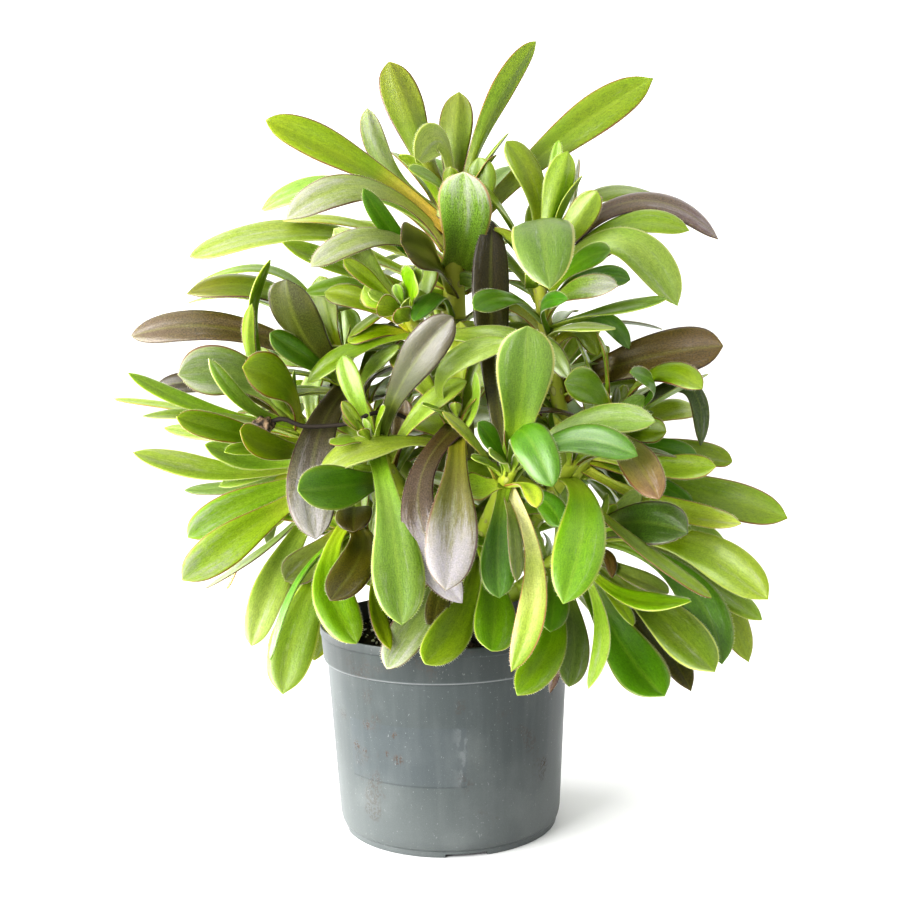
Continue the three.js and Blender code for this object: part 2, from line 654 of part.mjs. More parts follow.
// A leaf with no free place is one that the crowded head has shed.
function addLeaf(head, leaf, others) {
  const laid = settle(leaf, others, head.free);
  if (!laid) return;
  head.free.push(boxed(blade(laid, 0, FREE_FROM)));
  head.parts.push(boxed(blade(laid)));
}

// A head's own stem runs a little past its topmost leaf roots.
function coreLine(head) {
  const past = head.top.clone().sub(head.foot).setLength(head.stem * ROOT_DEPTH);
  return new THREE.LineCurve3(head.foot, head.top.clone().add(past));
}

// The leaves read from the front view are laid first and the rising ones find their place among them.
function growHeads(heads, fixed) {
  for (const head of heads) {
    head.parts = [boxed(tube(coreLine(head), head.stem, 1))];
    head.free = [];
  }
  const othersOf = (head) => {
    const neighbours = heads.filter((other) => other !== head);
    return fixed.concat(neighbours.flatMap((other) => other.parts));
  };
  for (const head of heads) {
    const others = othersOf(head);
    head.leaves.forEach((row, index) => addLeaf(head, seenLeaf(head, row, index), others));
  }
  for (const head of heads) {
    const others = othersOf(head);
    for (let i = 0; i < head.rise.count; i += 1) addLeaf(head, risingLeaf(head, i), others);
  }
}

// ---- Dry root: a dead, wavy aerial root with a clod of peat still on its end ----
function buildDryRoot() {
  const root = tube(new THREE.CatmullRomCurve3(DRY_ROOT.map(placed)), DRY_ROOT_RADIUS, DRY_ROOT_STEPS);
  const clod = new THREE.IcosahedronGeometry(CLOD_RADIUS, 1);
  const places = clod.attributes.position;
  for (let i = 0; i < places.count; i += 1) {
    const [x, y, z] = [places.getX(i), places.getY(i), places.getZ(i)];
    const lump = 1 + CLOD_LUMPS[0] * Math.sin(x + z) + CLOD_LUMPS[1] * Math.cos(y + x / 2);
    places.setXYZ(i, x * lump, y * lump, z * lump * CLOD_FLATNESS);
  }
  clod.translate(...placed(DRY_ROOT[0]).toArray());
  return root.add(toSolid(clod));
}

// ---- Assembly ----
const plant = new THREE.Group();
const heads = Object.entries(HEADS).map(([name, row]) => {
  return { ...row, name, foot: placed(row.foot), top: placed(row.top) };
});
const pot = buildPot();
const soil = buildSoil();
const stems = buildStems(heads);
plant.add(toMesh('pot', pot, 0x5d6c72, 0.45));
plant.add(toMesh('soil', soil, 0x1d1814, 0.95));
plant.add(toMesh('stems', stems, 0x8a8f4a, 0.7));
growHeads(heads, [pot, soil, stems].map(boxed));
for (const head of heads) {
  let solid = head.parts.map((part) => part.solid).reduce((sum, part) => sum.add(part));
  if (head.name === ROOTED_HEAD) solid = solid.add(buildDryRoot());
  plant.add(toMesh(head.name, solid, head.colour, 0.5));
}

export default plant;
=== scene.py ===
import math

import bmesh
import bpy
import numpy as np
from mathutils import Matrix, Vector, bvhtree, geometry, kdtree, noise


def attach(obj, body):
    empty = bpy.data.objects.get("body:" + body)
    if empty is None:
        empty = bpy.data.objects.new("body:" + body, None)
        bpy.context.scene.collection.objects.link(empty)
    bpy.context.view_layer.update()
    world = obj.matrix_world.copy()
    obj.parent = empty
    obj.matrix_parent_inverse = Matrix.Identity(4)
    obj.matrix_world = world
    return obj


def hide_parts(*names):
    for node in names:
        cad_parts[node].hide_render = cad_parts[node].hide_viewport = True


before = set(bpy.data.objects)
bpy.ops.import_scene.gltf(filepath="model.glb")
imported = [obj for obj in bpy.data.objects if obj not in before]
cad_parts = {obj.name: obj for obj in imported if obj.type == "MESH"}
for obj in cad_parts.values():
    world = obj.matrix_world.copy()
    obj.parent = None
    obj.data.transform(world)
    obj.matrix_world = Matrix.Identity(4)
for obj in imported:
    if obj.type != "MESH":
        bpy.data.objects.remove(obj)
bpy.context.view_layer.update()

MM = 0.001

# ---- Studio: a white table seen a little from above, under large soft lamps ----
# The table and the room are one even white, so the plant's own colours stay true.
EYE = Vector((5, -900, 344))
EYE_PITCH = 0.102
EYE_ROLL = -0.022
FRAME_PIXELS = 900
FOCAL_PIXELS = 1358.6
SENSOR = 36
TABLE_SIZE = 60
TABLE_WHITE = (0.8, 0.8, 0.8, 1)
TABLE_ROUGHNESS = 0.6
# A lamp is its place in metres, its width and its power. All are aimed at the middle of the plant.
LAMPS = {
    "key_lamp": ((-1.45, -1.15, 0.7), 1.4, 62),
    "side_lamp": ((-1.6, 0.45, 0.3), 1.0, 34),
}
LAMP_AIM = Vector((0, 0, 0.25))
ROOM_LIGHT = 1.22
ROOM_FRONT_FALL = 0.08
ROOM_RIGHT_FALL = 0.55
ROOM_LEFT_RISE = 0.55


def feed(tree, node, inputs):
    """Gives a node its inputs. One that is another node's socket is linked, and any other is set."""
    for name, value in inputs.items():
        if isinstance(value, bpy.types.NodeSocket):
            tree.links.new(value, node.inputs[name])
        else:
            node.inputs[name].default_value = value


def add(tree, kind, inputs=None, **settings):
    """Adds a shader node."""
    made = tree.nodes.new("ShaderNode" + kind)
    for name, value in settings.items():
        setattr(made, name, value)
    feed(tree, made, inputs or {})
    return made


def colour(red, green, blue):
    """A screen colour, 0 to 255, as the linear colour that a shader takes."""
    shares = [value / 255 for value in (red, green, blue)]
    return tuple(s / 12.92 if s < 0.04 else ((s + 0.055) / 1.055) ** 2.4 for s in shares) + (1,)


def finish(name):
    """A new material, its tree and its Principled shader."""
    material = bpy.data.materials.new(name)
    material.use_nodes = True
    return material, material.node_tree, material.node_tree.nodes["Principled BSDF"]


def between(value, low, high, start=0.0, end=1.0):
    """A socket's value taken from low..high to start..end, with soft ends, in the socket's own tree."""
    inputs = {"Value": value, "From Min": low, "From Max": high, "To Min": start, "To Max": end}
    return add(value.id_data, "MapRange", inputs, interpolation_type="SMOOTHSTEP").outputs["Result"]


def number(operation, first, second=0.0):
    return add(first.id_data, "Math", {0: first, 1: second}, operation=operation).outputs["Value"]


def times(first, second):
    return number("MULTIPLY", first, second)


def plus(first, second):
    return number("ADD", first, second)


def room():
    """White all round, brighter on the left and dimmer in front, most of all on the right."""
    world = bpy.data.worlds.new("room")
    world.use_nodes = True
    tree = world.node_tree
    way = add(tree, "SeparateXYZ", {"Vector": add(tree, "TexCoord").outputs["Generated"]}).outputs
    front = between(way["Y"], 0.0, -0.6)
    right = between(way["X"], -0.4, 0.6, 0.0, ROOM_RIGHT_FALL)
    fall = times(front, plus(right, ROOM_FRONT_FALL))
    rise = between(way["X"], -0.5, -0.95, 0.0, ROOM_LEFT_RISE)
    light = number("SUBTRACT", plus(rise, ROOM_LIGHT), fall)
    feed(tree, tree.nodes["Background"], {"Color": (1, 1, 1, 1), "Strength": light})
    return world


def thing(name, data):
    """A new object in the scene."""
    made = bpy.data.objects.new(name, data)
    bpy.context.scene.collection.objects.link(made)
    return made


def mesh_of(name, form):
    """A bmesh as a mesh."""
    mesh = bpy.data.meshes.new(name)
    form.to_mesh(mesh)
    form.free()
    return mesh


def studio():
    scene = bpy.context.scene
    camera = thing("camera", bpy.data.cameras.new("camera"))
    camera.data.sensor_width = SENSOR
    camera.data.lens = FOCAL_PIXELS / FRAME_PIXELS * SENSOR
    turn = Matrix.Rotation(math.pi / 2 - EYE_PITCH, 4, "X") @ Matrix.Rotation(EYE_ROLL, 4, "Z")
    camera.matrix_world = Matrix.Translation(EYE * MM) @ turn
    scene.camera = camera
    for name, (place, size, power) in LAMPS.items():
        lamp = thing(name, bpy.data.lights.new(name, "AREA"))
        lamp.data.size = size
        lamp.data.energy = power
        lamp.location = place
        lamp.rotation_euler = (LAMP_AIM - Vector(place)).to_track_quat("-Z", "Y").to_euler()
    scene.world = room()
    scene.view_settings.view_transform = "Standard"
    scene.view_settings.look = "High Contrast"
    form = bmesh.new()
    bmesh.ops.create_grid(form, x_segments=1, y_segments=1, size=TABLE_SIZE)
    table = thing("table", mesh_of("table", form))
    material, tree, shader = finish("white_table")
    feed(tree, shader, {"Base Color": TABLE_WHITE, "Roughness": TABLE_ROUGHNESS})
    table.data.materials.append(material)


studio()


# ---- Pot: one thin moulding of blue-grey polypropylene ----
# The body tapers to a foot ring with four notches. Under the rim is a straight collar with a bead, and a
# small slot on each side. The plastic is scuffed and has dried splashes and the pale trace of a label.
POT_HEIGHT = 138
RIM_RADIUS = 85
POT_WALL = 1.5
COLLAR_BOTTOM = 115
COLLAR_STEP = 2.3
COLLAR_TAPER = 2
BEAD_HEIGHT = 131.5
BEAD_STEP = 0.7
BODY_RADIUS_LOW = 74.4
CORNER_HEIGHT = 9
CORNER_CUT = 1.2
FOOT_RADIUS = 71.8
FOOT_WIDTH = 3.3
FOOT_HEIGHT = 4
POT_FLOOR = 6
NOTCHES = [8, 98, 188, 278]
NOTCH_SIZE = (27, 12, 4.4)
SLOT_SIZE = (12, 4, 6)
SLOT_HEIGHT = 124
DRAIN_RADIUS = 5
DRAIN_CIRCLE = 44
DRAIN_COUNT = 6
DRAIN_DEPTH = 12
POT_SIDES = 144
SHARP_ANGLE = 40


def rounded(corners, steps=4):
    """A profile through corners (radius, height, fillet), with each corner cut to a curve."""
    path = []
    for i, (radius, height, fillet) in enumerate(corners):
        corner = Vector((radius, height))
        if fillet == 0:
            path.append(corner)
            continue
        before = Vector(corners[i - 1][:2])
        after = Vector(corners[i + 1][:2])
        start = corner + (before - corner).normalized() * fillet
        end = corner + (after - corner).normalized() * fillet
        for step in range(steps + 1):
            share = step / steps
            path.append(start.lerp(corner, share).lerp(corner.lerp(end, share), share))
    return path


def spun(path, sides):
    """A bmesh of a profile of (radius, height) in millimetres, turned round the upright axis."""
    form = bmesh.new()
    points = [form.verts.new((point.x * MM, 0, point.y * MM)) for point in path]
    for first, second in zip(points, points[1:]):
        form.edges.new((first, second))
    bmesh.ops.spin(
        form, geom=form.verts[:] + form.edges[:], cent=(0, 0, 0), axis=(0, 0, 1), steps=sides,
        angle=2 * math.pi, use_merge=True,
    )
    bmesh.ops.remove_doubles(form, verts=form.verts[:], dist=1e-6)
    bmesh.ops.recalc_face_normals(form, faces=form.faces[:])
    return form


def piece(name, form, materials, slot, *nodes):
    """A finished piece: a bmesh as an object that rides on the plant and stands for CAD nodes."""
    made = thing(name, mesh_of(name, form))
    for material in materials:
        made.data.materials.append(material)
    made.data.shade_smooth()
    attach(made, "root")
    if nodes:
        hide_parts(*nodes)
    return made


def cut(target, cutters):
    """Takes a bmesh of cutters out of a piece and keeps the result as its mesh."""
    tool = thing("cutters", mesh_of("cutters", cutters))
    step = target.modifiers.new("cut", "BOOLEAN")
    step.operation = "DIFFERENCE"
    step.solver = "EXACT"
    step.object = tool
    whole = target.data
    shown = target.evaluated_get(bpy.context.evaluated_depsgraph_get())
    target.data = bpy.data.meshes.new_from_object(shown)
    target.data.name = target.name
    target.modifiers.clear()
    bpy.data.objects.remove(tool)
    bpy.data.meshes.remove(whole)


def mixed(mask, first, second, blend="MIX"):
    """Colour first turned into colour second where mask is 1."""
    inputs = {0: mask, 6: first, 7: second}
    return add(mask.id_data, "Mix", inputs, data_type="RGBA", blend_type=blend).outputs[2]


def effect(name, takes, gives):
    """A new node group, what it is given and its output node. takes and gives are {socket name: type}."""
    tree = bpy.data.node_groups.new(name, "ShaderNodeTree")
    for way, sockets in (("INPUT", takes), ("OUTPUT", gives)):
        for title, kind in sockets.items():
            tree.interface.new_socket(title, in_out=way, socket_type="NodeSocket" + kind)
    return tree, tree.nodes.new("NodeGroupInput").outputs, tree.nodes.new("NodeGroupOutput")


def make_patches():
    """Soft-edged patches, from noise on the piece's own place: 1 inside and 0 outside."""
    takes = {"Scale": "Float", "Stretch": "Vector", "Low": "Float", "High": "Float"}
    tree, given, result = effect("patches", takes, {"Mask": "Float"})
    place = add(tree, "TexCoord").outputs["Object"]
    stretched = add(tree, "VectorMath", {0: place, 1: given["Stretch"]}, operation="MULTIPLY")
    inputs = {"Vector": stretched.outputs["Vector"], "Scale": given["Scale"], "Detail": 5}
    cloud = add(tree, "TexNoise", inputs).outputs["Fac"]
    feed(tree, result, {"Mask": between(cloud, given["Low"], given["High"])})
    return tree


def make_grain():
    """A fine grain that lightens and darkens a colour, and its height for a bump."""
    takes = {"Color": "Color", "Scale": "Float", "Amount": "Float"}
    tree, given, result = effect("grain", takes, {"Color": "Color", "Height": "Float"})
    place = add(tree, "TexCoord").outputs["Object"]
    inputs = {"Vector": place, "Scale": given["Scale"], "Detail": 3, "Roughness": 0.6}
    height = add(tree, "TexNoise", inputs).outputs["Fac"]
    change = times(number("SUBTRACT", height, 0.5), given["Amount"])
    tinted = add(tree, "HueSaturation", {"Color": given["Color"], "Value": plus(change, 1.0)})
    feed(tree, result, {"Color": tinted.outputs["Color"], "Height": height})
    return tree


PATCHES = make_patches()
GRAIN = make_grain()


def patchy(tree, scale, low, high, stretch=(1, 1, 1)):
    """The mask of some patches."""
    inputs = {"Scale": scale, "Stretch": stretch, "Low": low, "High": high}
    return add(tree, "Group", inputs, node_tree=PATCHES).outputs["Mask"]


def grainy(tree, base, scale, amount):
    """A colour with its grain, and the grain's height."""
    grain = add(tree, "Group", {"Color": base, "Scale": scale, "Amount": amount}, node_tree=GRAIN).outputs
    return grain["Color"], grain["Height"]


def bumped(height, strength, depth):
    inputs = {"Height": height, "Strength": strength, "Distance": depth}
    return add(height.id_data, "Bump", inputs).outputs["Normal"]


POT_GREY = colour(62, 68, 68)
POT_DUST_AND_BOUNCE_LIGHT = colour(101, 105, 104)
POT_DARK = colour(45, 51, 50)
POT_SCUFFED = colour(150, 152, 152)
LABEL_GREY = colour(66, 73, 77)
PEAT_SPLASH = colour(66, 50, 38)
# The label's trace: its sides as turns round the pot from its front, and its lower and upper edge.
LABEL_SIDES = (-0.93, 0.165)
LABEL_EDGES = (46.5, 86.5)
LABEL_SOFTNESS = 0.015
# Where peat has dried on in crusts: turn round the pot, height, size.
CRUSTS = [
    (-0.72, 84, 3.2), (-0.42, 64, 3.6), (-0.86, 68, 3.4), (-0.76, 66, 2.4), (-0.53, 67, 2.2),
    (-0.44, 80, 2.2), (0.92, 52, 4.0), (-0.66, 121, 2.6), (-0.5, 119, 2.0),
]
CRUST_RADIUS = 79


def pot_plastic():
    material, tree, shader = finish("pot_plastic")
    place = add(tree, "TexCoord").outputs["Object"]
    axes = add(tree, "SeparateXYZ", {"Vector": place}).outputs
    height = axes["Z"]
    dusty = patchy(tree, 22, 0.45, 0.75)
    # Dust lies in patches, and a painted glow of light bounced up from the table grows toward the foot.
    dust_and_bounce_light = plus(times(dusty, 0.4), between(height, 0.08, 0.004, 0.0, 0.5))
    base = mixed(dust_and_bounce_light, POT_GREY, POT_DUST_AND_BOUNCE_LIGHT)
    rim = between(height, COLLAR_BOTTOM * MM, (COLLAR_BOTTOM + 2) * MM)
    base = mixed(times(rim, 0.6), base, POT_DARK)
    # The collar's lower edge has a pale line.
    below = between(height, (COLLAR_BOTTOM - 0.6) * MM, COLLAR_BOTTOM * MM, 0.0, 0.5)
    above = between(height, (COLLAR_BOTTOM + 1.4) * MM, COLLAR_BOTTOM * MM)
    base = mixed(times(below, above), base, POT_SCUFFED)
    # The label's trace has a wandering edge, a dark lower border and torn paper on its right.
    angle = number("ARCTAN2", axes["X"], times(axes["Y"], -1))
    wandering = plus(angle, times(patchy(tree, 130, 0.35, 0.65), 0.02))
    (left, right), (low, high) = LABEL_SIDES, LABEL_EDGES
    from_left = between(wandering, left, left + LABEL_SOFTNESS)
    across = times(from_left, between(wandering, right, right - LABEL_SOFTNESS))
    upright = times(between(height, low * MM, (low + 1) * MM), between(height, high * MM, (high - 1) * MM))
    label = times(across, upright)
    base = mixed(times(label, 0.35), base, LABEL_GREY)
    border = between(height, (low + 2) * MM, (low + 1) * MM, 0.0, 0.5)
    base = mixed(times(label, border), base, POT_DARK)
    torn = times(patchy(tree, 150, 0.5, 0.6, (1, 1, 0.6)), between(angle, 0.0, 0.12, 0.0, 0.16))
    base = mixed(times(torn, label), base, POT_SCUFFED)
    # Dried peat: crusts of tiny crumbs where it splashed, and single crumbs all round.
    zone = times(patchy(tree, 30, 0.6, 0.68), 0.4)
    for turn, up, size in CRUSTS:
        spot = Vector((math.sin(turn) * CRUST_RADIUS, -math.cos(turn) * CRUST_RADIUS, up)) * MM
        away = add(tree, "VectorMath", {0: place, 1: spot}, operation="DISTANCE").outputs["Value"]
        zone = number("MAXIMUM", zone, between(away, size * 1.4 * MM, size * 0.5 * MM))
    splash = times(zone, patchy(tree, 620, 0.46, 0.54))
    base = mixed(times(splash, 0.8), base, PEAT_SPLASH)
    # Scuffs: fine streaks down the wall, pale pinpricks and a few slanting scratches.
    streaked = patchy(tree, 190, 0.4, 0.75, (1, 1, 0.06))
    base = mixed(times(streaked, 0.13), base, POT_DUST_AND_BOUNCE_LIGHT)
    pricks = patchy(tree, 700, 0.68, 0.72)
    scratches = patchy(tree, 90, 0.68, 0.72, (9, 1, 5))
    scuffed = number("MAXIMUM", times(pricks, 0.3), times(scratches, 0.3))
    base, grain = grainy(tree, mixed(scuffed, base, POT_SCUFFED), 1500, 0.4)
    matt = plus(times(dusty, 0.14), times(splash, 0.3))
    relief = plus(times(grain, 0.3), splash)
    normal = bumped(relief, 0.35, 0.0003)
    feed(tree, shader, {"Base Color": base, "Roughness": plus(matt, 0.36), "Normal": normal})
    return material


def make_pot():
    collar_low = RIM_RADIUS - COLLAR_TAPER
    body_top = collar_low - COLLAR_STEP
    path = rounded([
        (0, FOOT_HEIGHT, 0),
        (FOOT_RADIUS - FOOT_WIDTH, FOOT_HEIGHT, 0.6),
        (FOOT_RADIUS - FOOT_WIDTH, 0, 0.6),
        (FOOT_RADIUS, 0, 0.8),
        (FOOT_RADIUS, FOOT_HEIGHT, 0.5),
        (BODY_RADIUS_LOW - CORNER_CUT, FOOT_HEIGHT + 1, 1),
        (BODY_RADIUS_LOW, CORNER_HEIGHT, 3),
        (body_top, COLLAR_BOTTOM - BEAD_STEP, 0.5),
        (collar_low, COLLAR_BOTTOM, 0.7),
        (RIM_RADIUS - BEAD_STEP, BEAD_HEIGHT, 0.4),
        (RIM_RADIUS, BEAD_HEIGHT + BEAD_STEP, 0.4),
        (RIM_RADIUS, POT_HEIGHT, 0.7),
        (RIM_RADIUS - POT_WALL, POT_HEIGHT, 0.7),
        (collar_low - POT_WALL, COLLAR_BOTTOM + POT_WALL, 0.8),
        (body_top - POT_WALL, COLLAR_BOTTOM - POT_WALL, 0.8),
        (BODY_RADIUS_LOW - CORNER_CUT - POT_WALL, POT_FLOOR, 2),
        (0, POT_FLOOR, 0),
    ])
    pot = piece("nursery_pot", spun(path, POT_SIDES), [pot_plastic()], "pot", "pot")
    cutters = bmesh.new()
    blocks = [(degrees, (0, -FOOT_RADIUS, 0), NOTCH_SIZE) for degrees in NOTCHES]
    blocks += [(0, (side * RIM_RADIUS, 0, SLOT_HEIGHT), SLOT_SIZE) for side in (-1, 1)]
    for degrees, place, size in blocks:
        turn = Matrix.Rotation(math.radians(degrees), 4, "Z") @ Matrix.Translation(Vector(place) * MM)
        bmesh.ops.create_cube(cutters, size=1, matrix=turn @ Matrix.Diagonal([*(Vector(size) * MM), 1]))
    drain = Vector((DRAIN_CIRCLE, 0, FOOT_HEIGHT)) * MM
    for i in range(DRAIN_COUNT):
        turn = Matrix.Rotation(2 * math.pi * i / DRAIN_COUNT, 4, "Z")
        bmesh.ops.create_cone(
            cutters, cap_ends=True, segments=40, radius1=DRAIN_RADIUS * MM, radius2=DRAIN_RADIUS * MM,
            depth=DRAIN_DEPTH * MM, matrix=turn @ Matrix.Translation(drain),
        )
    cut(pot, cutters)
    pot.data.set_sharp_from_angle(angle=math.radians(SHARP_ANGLE))


make_pot()


# ---- Soil: damp dark peat with grains of white perlite, filled to a little below the rim ----
# The fill is one lumpy mass that meets the pot's wall. Loose crumbs and perlite lie on its top.
SOIL_TOP = 125
SOIL_MOUND = 4
MOUND_RADIUS = 80
SOIL_RINGS = 40
SOIL_SIDES = 120
SOIL_GAP = 0.3
# Swells of its top: their height, their pitch and a number that tells them apart.
SOIL_SWELLS = [(2.2, 0.06, 3), (1.1, 0.25, 9)]
SOIL_ROUGHNESS = 1.4
# Loose grains: how many, and their size.
CRUMBS = (700, 1.5)
PERLITE = (90, 1.3)
SOIL_DARK = colour(30, 24, 20)
SOIL_BROWN = colour(74, 58, 44)
PERLITE_WHITE = colour(226, 224, 216)
rng = np.random.default_rng(42)


def soil_height(x, y):
    share = math.hypot(x, y) / MOUND_RADIUS
    swell = sum(high * noise.noise(Vector((x, y, layer)) * pitch) for high, pitch, layer in SOIL_SWELLS)
    return SOIL_TOP - 1 + SOIL_MOUND * (1 - share * share) + swell


def peat():
    material, tree, shader = finish("peat")
    damp = patchy(tree, 120, 0.4, 0.7)
    base, grain = grainy(tree, mixed(damp, SOIL_DARK, SOIL_BROWN), 900, 0.9)
    feed(tree, shader, {"Base Color": base, "Roughness": 0.9, "Normal": bumped(grain, 0.8, 0.0008)})
    return material


def perlite():
    material, tree, shader = finish("perlite")
    base, grain = grainy(tree, PERLITE_WHITE, 1400, 0.3)
    feed(tree, shader, {"Base Color": base, "Roughness": 0.8, "Normal": bumped(grain, 0.6, 0.0004)})
    return material


def make_soil():
    inner = RIM_RADIUS - COLLAR_TAPER - POT_WALL
    path = rounded([
        (0, POT_FLOOR + SOIL_GAP, 0),
        (BODY_RADIUS_LOW - 3.3, POT_FLOOR + SOIL_GAP, 2),
        (inner - COLLAR_STEP - SOIL_GAP, COLLAR_BOTTOM - 3, 0),
        (inner - SOIL_GAP, COLLAR_BOTTOM + 2.5, 0),
    ])
    for ring in range(SOIL_RINGS, -1, -1):
        path.append(Vector((inner * ring / SOIL_RINGS, SOIL_TOP)))
    form = spun(path, SOIL_SIDES)
    for vert in form.verts:
        x, y, z = vert.co / MM
        if z > SOIL_TOP - 1:
            vert.co.z = soil_height(x, y) * MM
            vert.co.z += SOIL_ROUGHNESS * MM * noise.noise(vert.co * 450)
    piece("peat_fill", form, [peat()], "soil", "soil")
    grains = (("peat_crumbs", CRUMBS, peat()), ("perlite_grains", PERLITE, perlite()))
    for name, (count, size), material in grains:
        form = bmesh.new()
        for _ in range(count):
            radius = (inner - 3) * math.sqrt(rng.random())
            around = rng.random() * 2 * math.pi
            x, y = radius * math.cos(around), radius * math.sin(around)
            scale = size * (0.5 + 0.9 * rng.random()) * MM
            place = Matrix.Translation(Vector((x, y, soil_height(x, y) + 0.3)) * MM)
            turn = Matrix.Rotation(rng.random() * 6, 4, Vector(rng.normal(size=3)))
            stretched = place @ turn @ Matrix.Diagonal([scale, scale * 0.8, scale * 0.65, 1])
            grown = bmesh.ops.create_icosphere(form, subdivisions=1, radius=1, matrix=stretched)
            for vert in grown["verts"]:
                vert.co += Vector(rng.normal(size=3)) * scale * 0.12
        piece(name, form, [material], "soil")


make_soil()


# ---- Heads: where each shoot starts and ends, and each leaf that shows ----
# A shoot is its foot and top as x, z and depth in the front view, the height where it joins the trunk, its
# radius, and the number, the arc and the length of the leaves that the view doesn't show one by one.
# A leaf is where it leaves its shoot (0 low, 1 top), x and z of its midrib's middle and of its tip, its
# tip's depth, its width, how far its face is turned from the viewer, and its finish.
DEPTH_SCALE = 1.2


def seen(x, z, depth):
    """A point read on the upright plane y = 0 from EYE, carried along its sight line to y = depth."""
    return (Vector((x, 0, z)) - EYE) * (1 - depth / EYE.y) + EYE


def shoot(foot, top, joins, stem, rise, leaves=()):
    """A shoot with its ends at their places in depth, and its axis."""
    foot, top = (seen(x, z, depth * DEPTH_SCALE) for x, z, depth in (foot, top))
    axis = (top - foot).normalized()
    return {
        "foot": foot, "top": top, "axis": axis, "joins": joins, "stem": stem, "rise": rise, "leaves": leaves,
    }


